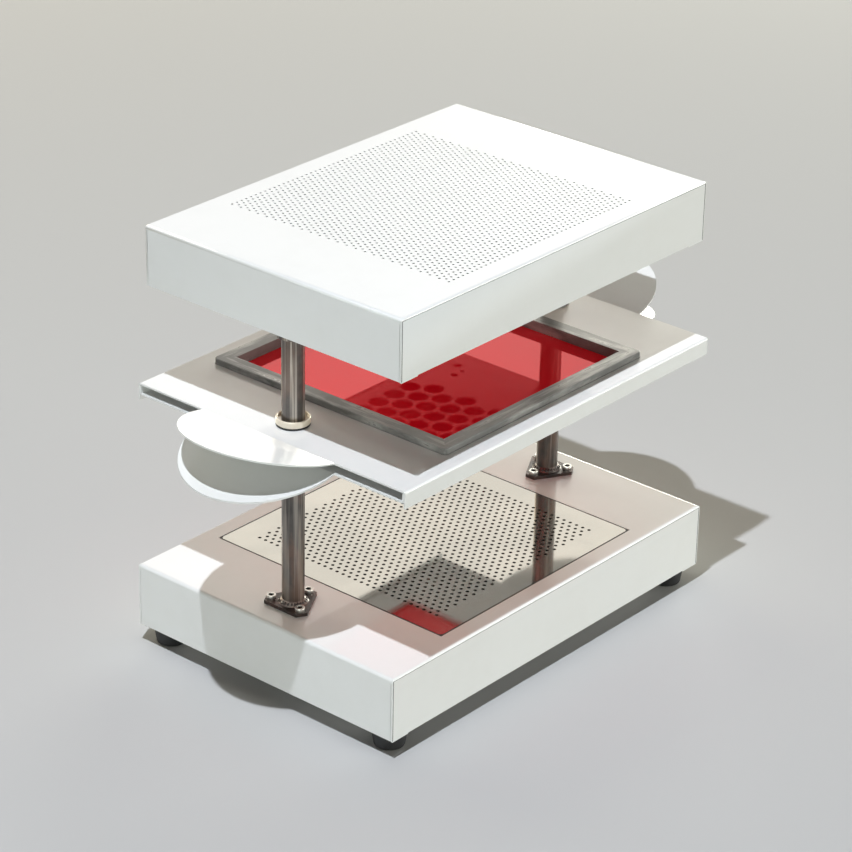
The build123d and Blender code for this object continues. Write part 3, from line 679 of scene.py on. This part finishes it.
def evaluated(name, base_mesh, make_tree, **inputs):
    """Runs a tree on a base mesh and gives the plain mesh that comes out."""
    carrier = bpy.data.objects.new(name, base_mesh)
    bpy.context.scene.collection.objects.link(carrier)
    tree = tree_of(make_tree)
    modifier = carrier.modifiers.new("Shape", "NODES")
    modifier.node_group = tree
    labels = {
        item.name: item.identifier for item in tree.interface.items_tree if item.in_out == "INPUT"
    }
    for label, value in inputs.items():
        modifier[labels[label.replace("_", " ")]] = value
    depsgraph = bpy.context.evaluated_depsgraph_get()
    mesh = bpy.data.meshes.new_from_object(carrier.evaluated_get(depsgraph), depsgraph=depsgraph)
    bpy.data.objects.remove(carrier)
    mesh.name = name
    return mesh


def loops_mesh(name, outline, circles):
    """Edge loops for a plate: its outline and odd round holes (x, y, diameter)."""
    bm = bmesh.new()
    rings = [outline]
    for x, y, size in circles:
        rings.append([
            (x + size / 2 * cos(tau * k / ODD_HOLE_SIDES), y + size / 2 * sin(tau * k / ODD_HOLE_SIDES))
            for k in range(ODD_HOLE_SIDES)
        ])
    for ring in rings:
        corners = [bm.verts.new((x, y, 0.0)) for x, y in ring]
        for k, corner in enumerate(corners):
            bm.edges.new((corner, corners[(k + 1) % len(corners)]))
    return mesh_from(bm, name)


ODD_HOLE_SIDES = 24


def rectangle(half_x, half_y, corner=0.0):
    """Corner points of a rectangle, with its corners rounded if a radius is given."""
    if not corner:
        return [(-half_x, -half_y), (half_x, -half_y), (half_x, half_y), (-half_x, half_y)]
    points = []
    for quarter, (i, j) in enumerate(((1, 1), (-1, 1), (-1, -1), (1, -1))):
        for k in range(CORNER_STEPS + 1):
            angle = pi / 2 * (quarter + k / CORNER_STEPS)
            points.append((
                i * (half_x - corner) + corner * cos(angle), j * (half_y - corner) + corner * sin(angle)
            ))
    return points


CORNER_STEPS = 6


def perforated(name, outline, hole, pitch, sides, rows, in_row, levels, material, circles=(),
               turn=0.0, walls=None):
    """Plain mesh of a plate with staggered round holes between two levels. The two counts of
    in_row are the holes of the middle row and of the rows next to it. The holes' walls may have a
    finish of their own, which paints shade inside the holes."""
    low, high = levels
    middle_rows = 2 * (rows // 4) + 1
    mesh = evaluated(
        name, loops_mesh(name, outline, circles), perforation_tree,
        Pitch=pitch, Hole=hole, Sides=sides, Thickness=high - low, Level=low, Turn=turn,
        Middle_holes=in_row[0], Middle_rows=middle_rows, Next_holes=in_row[1],
        Next_rows=rows - middle_rows, Material=material,
    )
    bm = bmesh.new()
    bm.from_mesh(mesh)
    bmesh.ops.recalc_face_normals(bm, faces=bm.faces)
    bm.to_mesh(mesh)
    bm.free()
    shade(mesh)
    # The steep faces inside the field take the walls' finish: painted shade in the holes
    if walls:
        mesh.materials.append(walls)
        field_x = max(x for x, y in outline) - EDGE_MARGIN
        field_y = max(y for x, y in outline) - EDGE_MARGIN
        for side in mesh.polygons:
            inside = abs(side.center.x) < field_x and abs(side.center.y) < field_y
            if inside and abs(side.normal.z) < 0.5:
                side.material_index = 1
    return mesh


EDGE_MARGIN = 5.0 * MM


def fastened(name, body, material, template, spots, angle=35.0, hides=()):
    """Copies of a turned fastener at (place, facing) spots, as one piece."""
    bm = bmesh.new()
    for place, _ in spots:
        bm.verts.new(place)
    points = mesh_from(bm, name)
    facing = points.attributes.new("facing", "FLOAT_VECTOR", "POINT")
    for k, (_, direction) in enumerate(spots):
        facing.data[k].vector = direction
    model = bpy.data.objects.new(name + "_model", mesh_from(template, name + "_model"))
    mesh = evaluated(name, points, scatter_tree, Fastener=model, Material=material)
    bpy.data.objects.remove(model)
    shade(mesh, angle)
    piece = new_piece(name, mesh, body)
    if hides:
        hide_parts(*hides)
    return piece


# ---------------------------------------------------------------- sizes and colours
class FormerSizes(bpy.types.PropertyGroup):
    """Sizes of the fine pieces."""

    platen_hole: FloatProperty(
        name="Platen hole", description="Diameter of the platen's air holes", default=0.0031,
        unit="LENGTH", subtype="DISTANCE")
    platen_pitch: FloatProperty(
        name="Platen pitch", description="Distance between the platen's air holes", default=0.0069,
        unit="LENGTH", subtype="DISTANCE")
    platen_rows: IntProperty(
        name="Platen rows", description="Rows of air holes across the platen", default=35)
    vent_hole: FloatProperty(
        name="Vent hole", description="Diameter of the holes in the heater's top", default=0.0023,
        unit="LENGTH", subtype="DISTANCE")
    vent_pitch: FloatProperty(
        name="Vent pitch", description="Distance between the holes in the heater's top",
        default=0.0056, unit="LENGTH", subtype="DISTANCE")
    vent_rows: IntProperty(
        name="Vent rows", description="Rows of holes in the heater's top", default=49)
    grille_hole: FloatProperty(
        name="Grille hole", description="Diameter of the holes in the heater's floor",
        default=0.019, unit="LENGTH", subtype="DISTANCE")
    grille_pitch: FloatProperty(
        name="Grille pitch", description="Distance between the holes in the heater's floor",
        default=0.0215, unit="LENGTH", subtype="DISTANCE")
    grille_rows: IntProperty(
        name="Grille rows", description="Rows of holes in the heater's floor", default=13)


class FormerColours(bpy.types.PropertyGroup):
    """Colours a user may change."""

    # This coat is the heater box's white made paler, as painted light on the base and the carriage
    coat: FloatVectorProperty(
        name="Coat", description="Powder coat", subtype="COLOR", default=(0.85, 0.86, 0.85))
    coat_heated: FloatVectorProperty(
        name="Heated coat", description="Powder coat of the heater's box", subtype="COLOR",
        default=(0.80, 0.81, 0.80))
    coat_warm: FloatVectorProperty(
        name="Warm coat", description="Powder coat where it has yellowed a little",
        subtype="COLOR", default=(0.78, 0.765, 0.725))
    sheet_red: FloatVectorProperty(
        name="Sheet", description="Plastic sheet", subtype="COLOR", default=(0.92, 0.005, 0.016))
    floor: FloatVectorProperty(
        name="Floor", description="Studio floor", subtype="COLOR", default=(0.555, 0.552, 0.545))


class FormerStage(bpy.types.PropertyGroup):
    """Camera and light."""

    azimuth: FloatProperty(
        name="Azimuth", description="Turn of the camera about the machine", default=radians(-49.7137),
        unit="ROTATION", subtype="ANGLE")
    elevation: FloatProperty(
        name="Elevation", description="Height of the camera above the horizon",
        default=radians(26.0293), unit="ROTATION", subtype="ANGLE")
    roll: FloatProperty(
        name="Roll", description="Tilt of the camera about its axis", default=radians(1.1253),
        unit="ROTATION", subtype="ANGLE")
    distance: FloatProperty(
        name="Distance", description="Camera to the aimed point", default=2.71477, unit="LENGTH",
        subtype="DISTANCE")
    lens: FloatProperty(
        name="Lens", description="Focal length in millimetres", default=135.4669)
    aim_right: FloatProperty(
        name="Aim right", description="Move of the aimed point to the right in the view",
        default=-0.001328, unit="LENGTH", subtype="DISTANCE")
    aim_up: FloatProperty(
        name="Aim up", description="Move of the aimed point up in the view", default=-0.015208,
        unit="LENGTH", subtype="DISTANCE")
    aim_height: FloatProperty(
        name="Aim height", description="Level that the camera turns about", default=0.195,
        unit="LENGTH", subtype="DISTANCE")
    key_power: FloatProperty(name="Key", description="Power of the key lamp", default=372.0)
    key_radius: FloatProperty(
        name="Key size", description="Radius of the key lamp", default=0.03, unit="LENGTH",
        subtype="DISTANCE")
    soft_share: FloatProperty(
        name="Soft lamps", description="Share of the soft lamps' light", default=1.0)
    room_strength: FloatProperty(
        name="Room", description="Strength of the room's light", default=0.05)


def sizes():
    return bpy.context.scene.former_sizes


# ---------------------------------------------------------------- operators
class FORMER_OT_sheet_boxes(bpy.types.Operator):
    """Coats the folded boxes and floors, and perforates the heater's top"""

    bl_idname = "former.sheet_boxes"
    bl_label = "Folded boxes"

    def execute(self, context):
        coat_nodes(powder_coat(), "base_shell", "base_floor")
        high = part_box("heater_shell")[1]
        floor_low, floor_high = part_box("heater_floor")
        sheet = floor_high[2] - floor_low[2]
        # The box keeps its folds and walls, and its flat top is made again with every hole
        bm = bmesh.new()
        bm.from_mesh(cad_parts["heater_shell"].data)
        bmesh.ops.remove_doubles(bm, verts=bm.verts, dist=WELD)
        level = high[2] - sheet * 1.05
        flat_x, flat_y = high[0] - END_BEND, high[1] - LONG_BEND
        flat = [
            face for face in bm.faces
            if all(
                v.co.z > level and abs(v.co.x) < flat_x + CLEAR and abs(v.co.y) < flat_y + CLEAR
                for v in face.verts
            )
        ]
        bmesh.ops.delete(bm, geom=flat, context="FACES")
        bmesh.ops.bridge_loops(bm, edges=[edge for edge in bm.edges if edge.is_boundary])
        shell = mesh_from(bm, "heater_cover")
        shade(shell, 30.0)
        cover = new_piece("heater_cover", shell, STAND, heated_coat())
        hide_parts("heater_shell")
        size = sizes()
        vents = perforated(
            "heater_vents", rectangle(flat_x, flat_y), size.vent_hole, size.vent_pitch, VENT_SIDES,
            size.vent_rows, VENTS_IN_ROW, (high[2] - sheet, high[2]), heated_coat(),
            walls=cut_edge(),
        )
        top = new_piece("heater_vents", vents, STAND)
        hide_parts("heater_shell")
        self.close_corners(sheet)
        return {"FINISHED"}

    def close_corners(self, sheet):
        """Dark strips that paint the shade in the open joints where the long walls meet the ends and
        under each long wall's top fold, and the stubs that end their lower lips.
        """
        seams = bmesh.new()
        stubs = bmesh.new()
        for node in ("base_shell", "heater_shell"):
            low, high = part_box(node)
            reach = high[0] - SEAM_IN
            crease = high[2] - LONG_BEND
            lip = low[2] - STUB_DROP
            for side in (-1, 1):
                face = sorted((side * (high[1] - SEAM_DEPTH), side * (high[1] + CLEAR)))
                wall = sorted((side * (high[1] - sheet), side * high[1]))
                for end in (-1, 1):
                    # A dark strip in each open corner joint: painted shade of the gap
                    seam = sorted((end * reach, end * (reach - SEAM)))
                    slab(seams, (seam[0], face[0], low[2]), (seam[1], face[1], crease))
                    stub = sorted((end * reach, end * (high[0] - STUB)))
                    slab(stubs, (stub[0], wall[0], lip), (stub[1], wall[1], low[2] + CLEAR))
                # A dark line along the wall just under its top fold: painted shade of the crease
                slab(seams, (-reach, face[0], crease - CREASE), (reach, face[1], crease))
        new_piece("corner_seams", mesh_from(seams, "corner_seams"), STAND, cut_edge())
        new_piece("lip_stubs", mesh_from(stubs, "lip_stubs"), STAND, powder_coat())


END_BEND = 3.0 * MM
LONG_BEND = 2.0 * MM
VENT_SIDES = 8
VENTS_IN_ROW = (42, 41)
SEAM = 0.7 * MM
SEAM_IN = 0.8 * MM
SEAM_DEPTH = 0.3 * MM
CREASE = 0.35 * MM
STUB = 20.0 * MM
STUB_DROP = 0.9 * MM


class FORMER_OT_heater_grille(bpy.types.Operator):
    """Makes the heater's floor with its round holes"""

    bl_idname = "former.heater_grille"
    bl_label = "Heater grille"

    def execute(self, context):
        low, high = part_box("heater_floor")
        size = sizes()
        screw_holes = tuple((x, y, SCREW_HOLE) for x, y in plate_screw_places())
        mesh = perforated(
            "heater_grille", rectangle(high[0], high[1]), size.grille_hole, size.grille_pitch,
            GRILLE_SIDES, size.grille_rows, GRILLE_IN_ROW, (low[2], high[2]), heated_coat(),
            circles=HEATER_SMALL_HOLES + screw_holes,
        )
        grille = new_piece("heater_grille", mesh, STAND)
        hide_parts("heater_floor")
        coat_nodes(bright_sheet(), "reflector")
        coat_nodes(ceramic(), "tube_holders", "terminal_block")
        coat_nodes(frosted_quartz(), *(f"heating_tube_{k}" for k in range(1, 5)))
        return {"FINISHED"}


# Odd holes near the heater floor's back right corner: x, y, diameter
HEATER_SMALL_HOLES = ((0.1705, 0.1095, 0.0082), (0.164, 0.0985, 0.005), (0.153, 0.0985, 0.0078))
SCREW_HOLE = 5.3 * MM
GRILLE_SIDES = 40
GRILLE_IN_ROW = (11, 12)


class FORMER_OT_platen(bpy.types.Operator):
    """Makes the platen with every air hole, and finishes the tray under it"""

    bl_idname = "former.platen"
    bl_label = "Platen"

    def execute(self, context):
        low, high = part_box("platen")
        size = sizes()
        outline = rectangle(high[0] - PLATEN_TRIM, high[1] - PLATEN_TRIM, PLATEN_CORNER)
        mesh = perforated(
            "platen_plate", outline, size.platen_hole, size.platen_pitch, PLATEN_SIDES,
            size.platen_rows, PLATEN_IN_ROW, (low[2], high[2]), platen_metal(), turn=pi / 2,
            walls=cut_edge(),
        )
        plate = new_piece("platen_plate", mesh, STAND)
        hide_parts("platen")
        self.edge_lip(low, high)
        coat_nodes(tray_metal(), "vacuum_tray", "platen_supports")
        coat_nodes(foot_rubber(), "platen_seal")
        coat_nodes(black_moulding(), "vacuum_port")
        return {"FINISHED"}

    def edge_lip(self, low, high):
        """Upstanding black lip of the seal that fills the gap round the platen: painted shade of that
        gap.
        """
        inner = rectangle(high[0] - LIP_IN, high[1] - LIP_IN, PLATEN_CORNER)
        outer = rectangle(high[0] + LIP_OUT, high[1] + LIP_OUT, PLATEN_CORNER)
        foot, crest = low[2], high[2] - LIP_SUNK
        rings = [
            [(x, y, level) for x, y in line]
            for line, level in ((inner, foot), (outer, foot), (outer, crest), (inner, crest))
        ]
        new_piece("seal_lip", hoop("seal_lip", [rings]), STAND, foot_rubber())


PLATEN_CORNER = 4.0 * MM
PLATEN_TRIM = 0.7 * MM         # the platen's edge stands back by this, so that its gap reads dark
PLATEN_SIDES = 12
PLATEN_IN_ROW = (29, 30)
LIP_IN = 0.68 * MM
LIP_OUT = 0.78 * MM
LIP_SUNK = 0.25 * MM


def post_places():
    """Middle of each post, in x, with the side it stands on."""
    places = []
    for node, side in (("post_left", -1), ("post_right", 1)):
        low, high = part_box(node)
        inner = high[0] if side < 0 else low[0]
        places.append((inner + side * PLATE_INNER, side))
    return places


def post_spots(level):
    """A spot on each post's axis, facing up."""
    return [((x, 0.0, level), UP) for x, _ in post_places()]


def plate_screw_places():
    """Screw centres of both posts' three-cornered plates."""
    places = []
    for x, side in post_places():
        for k in range(3):
            angle = (pi if side > 0 else 0.0) + tau * k / 3
            places.append((x + PLATE_REACH * cos(angle), PLATE_REACH * sin(angle)))
    return places


PLATE_INNER = 23.6 * MM        # post axis to the plate's inner corner
PLATE_REACH = 18.65 * MM       # post axis to a screw
PLATE_T = 3.0 * MM
UP = (0.0, 0.0, 1.0)
DOWN = (0.0, 0.0, -1.0)
CORNERS = ((-1, -1), (-1, 1), (1, -1), (1, 1))


class FORMER_OT_posts(bpy.types.Operator):
    """Finishes the posts and lays their weld beads"""

    bl_idname = "former.posts"
    bl_label = "Posts"

    def execute(self, context):
        coat_nodes(dark_steel(), "post_left", "post_right", "post_heads")
        coat_nodes(tray_metal(), "post_backings", "head_backings")
        mesh = hoop("weld_beads", [self.bead(x, side) for x, side in post_places()])
        shade(mesh, 50.0)
        new_piece("weld_beads", mesh, STAND, weld_metal())
        return {"FINISHED"}

    def bead(self, x, side):
        """Sections of the rippled bead round one post, each a quarter disc in the corner."""
        wall = TUBE_R - CLEAR
        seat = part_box("post_left")[0][2] + PLATE_T - CLEAR
        sections = []
        for k in range(BEAD_STEPS):
            around = tau * k / BEAD_STEPS
            wave = 0.5 + 0.5 * sin(BEAD_RIPPLES * around + sin(3 * around))
            size = BEAD * (0.86 + 0.16 * wave + 0.05 * sin(5 * around + side))
            section = [(wall, seat)]
            for j in range(BEAD_SIDES + 1):
                rise = pi / 2 * j / BEAD_SIDES
                section.append((wall + size * cos(rise), seat + size * sin(rise)))
            sections.append([
                (x + reach * cos(around), reach * sin(around), level) for reach, level in section
            ])
        return sections


TUBE_R = 9.5 * MM
BEAD = 2.9 * MM
BEAD_STEPS = 144
BEAD_SIDES = 6
BEAD_RIPPLES = 24


def cap_screw(length):
    """Low cap screw: knurled head, hexagon socket, chamfered tip. Its seat is at zero."""
    return lathe(in_metres(
        (0, -length), (2.0, -length), (2.5, 0.6 - length), (2.5, 0), (3.9, 0), (4.1, 0.3), (4.25, 3.1),
        (4.05, 3.5), (2.4, 3.5), (2.2, 3.3), (2.2, 1.0), (0, 0.5),
    ), 48, hexagon=(9, 10), knurl=(5, 6))


def pan_screw(head, length):
    """Pan-headed screw of a given head diameter, with a hexagon recess."""
    reach = head / 2
    return lathe(in_metres(
        (0, -length), (0.4 * reach, -length), (0.45 * reach, 0), (reach, 0), (reach, 0.16 * reach),
        (0.88 * reach, 0.38 * reach), (0.6 * reach, 0.52 * reach), (0.36 * reach, 0.55 * reach),
        (0.3 * reach, 0.5 * reach), (0.3 * reach, 0.15 * reach), (0, 0.1 * reach),
    ), 24, hexagon=(8, 9))


def grub_screw():
    """Set screw whose flat end stands just out of its boss."""
    return lathe(in_metres(
        (0, -3), (2, -3), (2, 0), (1.8, 0.25), (1.3, 0.25), (1, 0.1), (1, -1.6), (0, -2)
    ), 24, hexagon=(5, 6))


class FORMER_OT_screws(bpy.types.Operator):
    """Makes the cap screws of the posts and the small screws of the sheet metal"""

    bl_idname = "former.screws"
    bl_label = "Screws"

    def execute(self, context):
        coat_nodes(zinc_plate(), "foot_screws", "foot_nuts")
        foot_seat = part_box("post_screws")[0][2] + CAP_SHANK
        head_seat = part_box("head_screws")[1][2] - CAP_SHANK
        for name, seat, facing, hidden in (
            ("post_cap_screws", foot_seat, UP, "post_screws"),
            ("head_cap_screws", head_seat, DOWN, "head_screws"),
        ):
            spots = [((x, y, seat), facing) for x, y in plate_screw_places()]
            fastened(name, STAND, zinc_plate(), cap_screw(CAP_SHANK / MM), spots,
                     hides=(hidden,))
        spots = []
        for node in ("base_floor", "heater_floor"):
            low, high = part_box(node)
            reach = high[1] - PLATE_SCREW_IN
            spots += [((i * PLATE_SCREW_X, j * reach, low[2]), DOWN) for i, j in CORNERS]
        fastened("plate_screws", STAND, zinc_plate(), pan_screw(PAN_HEAD, PAN_SHANK), spots)
        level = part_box("post_heads")[0][2] + BOSS_SCREW_RISE
        spots = [((x + side * BOSS_R, 0.0, level), (side, 0.0, 0.0)) for x, side in post_places()]
        fastened("boss_screws", STAND, black_ring(), grub_screw(), spots)
        return {"FINISHED"}


CAP_SHANK = 9.5 * MM
PAN_HEAD = 7.6                 # millimetres, as in the profiles
PAN_SHANK = 5.0
PLATE_SCREW_X = 150.0 * MM
PLATE_SCREW_IN = 5.0 * MM
BOSS_R = 13.5 * MM
BOSS_SCREW_RISE = 4.0 * MM


class FORMER_OT_feet(bpy.types.Operator):
    """Makes the rubber feet"""

    bl_idname = "former.feet"
    bl_label = "Feet"

    def execute(self, context):
        low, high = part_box("feet")
        profile = in_metres(
            (0, 9), (6, 9), (6, 0.6), (6.6, 0), (11.6, 0), (12.6, 0.4), (13.1, 1.4),
            (15.3, 15.4), (15.5, 16.2), (15.5, 17), (0, 17),
        )
        spots = [((i * (high[0] - FOOT_R), j * (high[1] - FOOT_R), low[2]), UP) for i, j in CORNERS]
        fastened("rubber_feet", STAND, foot_rubber(), lathe(profile, 64), spots,
                 angle=50.0, hides=("feet",))
        return {"FINISHED"}


FOOT_R = 15.5 * MM


class FORMER_OT_carriage(bpy.types.Operator):
    """Finishes the carriage's sheets and bushes"""

    bl_idname = "former.carriage"
    bl_label = "Carriage"

    def execute(self, context):
        coat_nodes(powder_coat(), "carriage_top", "carriage_bottom")
        low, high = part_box("bushes")
        tall = (high[2] - low[2]) / MM
        profile = in_metres(
            (9.55, 0), (12.5, 0), (12.5, tall - 5.5), (13.9, tall - 5.5), (14.3, tall - 5.1),
            (14.3, tall - 0.5), (13.9, tall), (13.0, tall), (12.7, tall - 0.3), (12.5, tall - 2.8),
            (11.9, tall - 3), (9.9, tall - 3), (9.55, tall - 3.4), (9.55, 0),
        )
        fastened("collar_bushes", CARRIAGE, bronze(), lathe(profile, 96),
                 post_spots(low[2]), hides=("bushes",))
        low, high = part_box("bush_seats")
        rise = (high[2] - low[2]) / MM
        profile = in_metres(
            (12.6, 0), (13.9, 0), (14.2, 0.3), (14.2, rise - 0.3), (13.9, rise), (12.6, rise), (12.6, 0)
        )
        fastened("seat_rings", CARRIAGE, black_ring(), lathe(profile, 64),
                 post_spots(low[2]), hides=("bush_seats",))
        coat_nodes(zinc_plate(), "bush_nuts")
        coat_nodes(silicone(), "sheet_gasket")
        return {"FINISHED"}


class FORMER_OT_clamp(bpy.types.Operator):
    """Finishes the clamp frame and the plastic sheet"""

    bl_idname = "former.clamp"
    bl_label = "Clamp and sheet"

    def execute(self, context):
        coat_nodes(clamp_grey(), "clamp_frame")
        coat_nodes(red_sheet(), "plastic_sheet")
        return {"FINISHED"}


class FORMER_OT_electrics(bpy.types.Operator):
    """Finishes the power inlet and the switch"""

    bl_idname = "former.electrics"
    bl_label = "Inlet and switch"

    def execute(self, context):
        coat_nodes(black_moulding(), "power_inlet", "switch_body", "switch_rocker")
        coat_nodes(contact_brass(), "inlet_pins")
        return {"FINISHED"}


class FORMER_OT_stage(bpy.types.Operator):
    """Sets the floor, the camera and the light"""

    bl_idname = "former.stage"
    bl_label = "Stage"

    def execute(self, context):
        scene = context.scene
        stage = scene.former_stage
        scene.view_settings.view_transform = "Standard"
        # Floor
        bm = bmesh.new()
        bmesh.ops.create_grid(bm, x_segments=2, y_segments=2, size=FLOOR_HALF)
        ground = bpy.data.objects.new("studio_floor", mesh_from(bm, "studio_floor"))
        scene.collection.objects.link(ground)
        f = Finish("studio_floor")
        coat(ground, f.surface(Base_Color=tuple(scene.former_colours.floor), Roughness=0.9,
                               Specular_IOR_Level=0.2))
        # Camera
        a, e, roll = stage.azimuth, stage.elevation, stage.roll
        back = Vector((sin(a) * cos(e), -cos(a) * cos(e), sin(e)))
        right = Vector((cos(a), sin(a), 0.0))
        up = back.cross(right)
        right, up = right * cos(roll) + up * sin(roll), up * cos(roll) - right * sin(roll)
        place = Vector((0.0, 0.0, stage.aim_height)) + right * stage.aim_right
        place += up * stage.aim_up + back * stage.distance
        lens = bpy.data.cameras.new("photo_camera")
        lens.sensor_width = 36.0
        lens.lens = stage.lens
        lens.clip_end = 50.0
        camera = bpy.data.objects.new("photo_camera", lens)
        turn = Matrix((right, up, back)).transposed().to_4x4()
        camera.matrix_world = Matrix.Translation(place) @ turn
        scene.collection.objects.link(camera)
        scene.camera = camera
        # Key lamp
        light = bpy.data.lights.new("key", "SPOT")
        light.energy = stage.key_power
        light.shadow_soft_size = stage.key_radius
        light.spot_size = KEY_SPREAD
        light.spot_blend = KEY_BLEND
        light.color = KEY_COLOUR
        self.place_lamp(light, KEY_PLACE)
        # Soft lamps low on both front sides, on the right, and two behind
        for name, place, across, tall, power, tint in SOFT_LAMPS:
            light = bpy.data.lights.new(name, "AREA")
            light.shape = "RECTANGLE"
            light.size = across
            light.size_y = tall
            light.energy = power * stage.soft_share
            light.color = tint
            self.place_lamp(light, place)
        # Room light, and a white room in what shines
        world = bpy.data.worlds.new("studio")
        world.use_nodes = True
        tree = world.node_tree
        room = tree.nodes["Background"]
        room.inputs["Color"].default_value = (*ROOM_COLOUR, 1.0)
        room.inputs["Strength"].default_value = stage.room_strength
        seen = tree.nodes.new("ShaderNodeBackground")
        seen.inputs["Color"].default_value = (*SEEN_COLOUR, 1.0)
        path = tree.nodes.new("ShaderNodeLightPath")
        either = tree.nodes.new("ShaderNodeMath")
        either.operation = "MAXIMUM"
        tree.links.new(path.outputs["Is Camera Ray"], either.inputs[0])
        tree.links.new(path.outputs["Is Glossy Ray"], either.inputs[1])
        mixer = tree.nodes.new("ShaderNodeMixShader")
        tree.links.new(either.outputs[0], mixer.inputs["Fac"])
        tree.links.new(room.outputs[0], mixer.inputs[1])
        tree.links.new(seen.outputs[0], mixer.inputs[2])
        tree.links.new(mixer.outputs[0], tree.nodes["World Output"].inputs["Surface"])
        scene.world = world
        return {"FINISHED"}

    def place_lamp(self, light, place):
        """Stands a lamp at a place and aims it at the machine."""
        lamp = bpy.data.objects.new(light.name, light)
        aim = Vector(LAMP_AIM) - Vector(place)
        turn = aim.to_track_quat("-Z", "Y").to_matrix().to_4x4()
        lamp.matrix_world = Matrix.Translation(place) @ turn
        bpy.context.scene.collection.objects.link(lamp)


FLOOR_HALF = 12.0
LAMP_AIM = (0.0, 0.0, 0.15)
KEY_PLACE = (-1.0, -0.25, 3.3)
KEY_SPREAD = radians(70.0)
KEY_BLEND = 0.3
KEY_COLOUR = (0.87, 0.92, 1.0)
SOFT_LAMPS = (
    # Name, place, width, height, power, colour
    ("low_left", (-3.4, -1.8, 0.4), 3.0, 0.7, 44.0, (0.92, 1.0, 0.92)),
    ("low_right", (2.4, -3.2, 0.4), 3.0, 0.7, 86.0, (0.99, 1.0, 0.92)),
    ("side", (4.2, 1.5, 0.7), 3.0, 1.2, 155.0, (1.0, 1.0, 0.88)),
    ("behind", (0.6, 3.6, 1.2), 2.4, 1.6, 46.0, (1.0, 0.91, 0.69)),
    ("back", (2.4, 2.6, 1.5), 2.4, 2.0, 6.0, (1.0, 0.86, 0.66)),
)
ROOM_COLOUR = (1.0, 0.86, 0.69)
SEEN_COLOUR = (1.0, 0.985, 0.96)


class FORMER_PT_dressing(bpy.types.Panel):
    """Lists the steps that dress the machine"""

    bl_idname = "FORMER_PT_dressing"
    bl_label = "Vacuum former"
    bl_space_type = "VIEW_3D"
    bl_region_type = "UI"
    bl_category = "Former"

    def draw(self, context):
        for step in STEPS:
            self.layout.operator(step.bl_idname)
        scene = context.scene
        for block in (scene.former_sizes, scene.former_colours, scene.former_stage):
            for key in block.__annotations__:
                self.layout.prop(block, key)


STEPS = (
    FORMER_OT_sheet_boxes,
    FORMER_OT_heater_grille,
    FORMER_OT_platen,
    FORMER_OT_posts,
    FORMER_OT_screws,
    FORMER_OT_feet,
    FORMER_OT_carriage,
    FORMER_OT_clamp,
    FORMER_OT_electrics,
    FORMER_OT_stage,
)
GROUPS = (FormerSizes, FormerColours, FormerStage)


def register():
    for cls in (*GROUPS, *STEPS, FORMER_PT_dressing):
        bpy.utils.register_class(cls)
    bpy.types.Scene.former_sizes = PointerProperty(type=FormerSizes)
    bpy.types.Scene.former_colours = PointerProperty(type=FormerColours)
    bpy.types.Scene.former_stage = PointerProperty(type=FormerStage)


def unregister():
    del bpy.types.Scene.former_sizes
    del bpy.types.Scene.former_colours
    del bpy.types.Scene.former_stage
    for cls in reversed((*GROUPS, *STEPS, FORMER_PT_dressing)):
        bpy.utils.unregister_class(cls)


def main():
    register()
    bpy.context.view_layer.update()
    for step in STEPS:
        family, name = step.bl_idname.split(".")
        getattr(getattr(bpy.ops, family), name)()


if __name__ == "__main__":
    main()
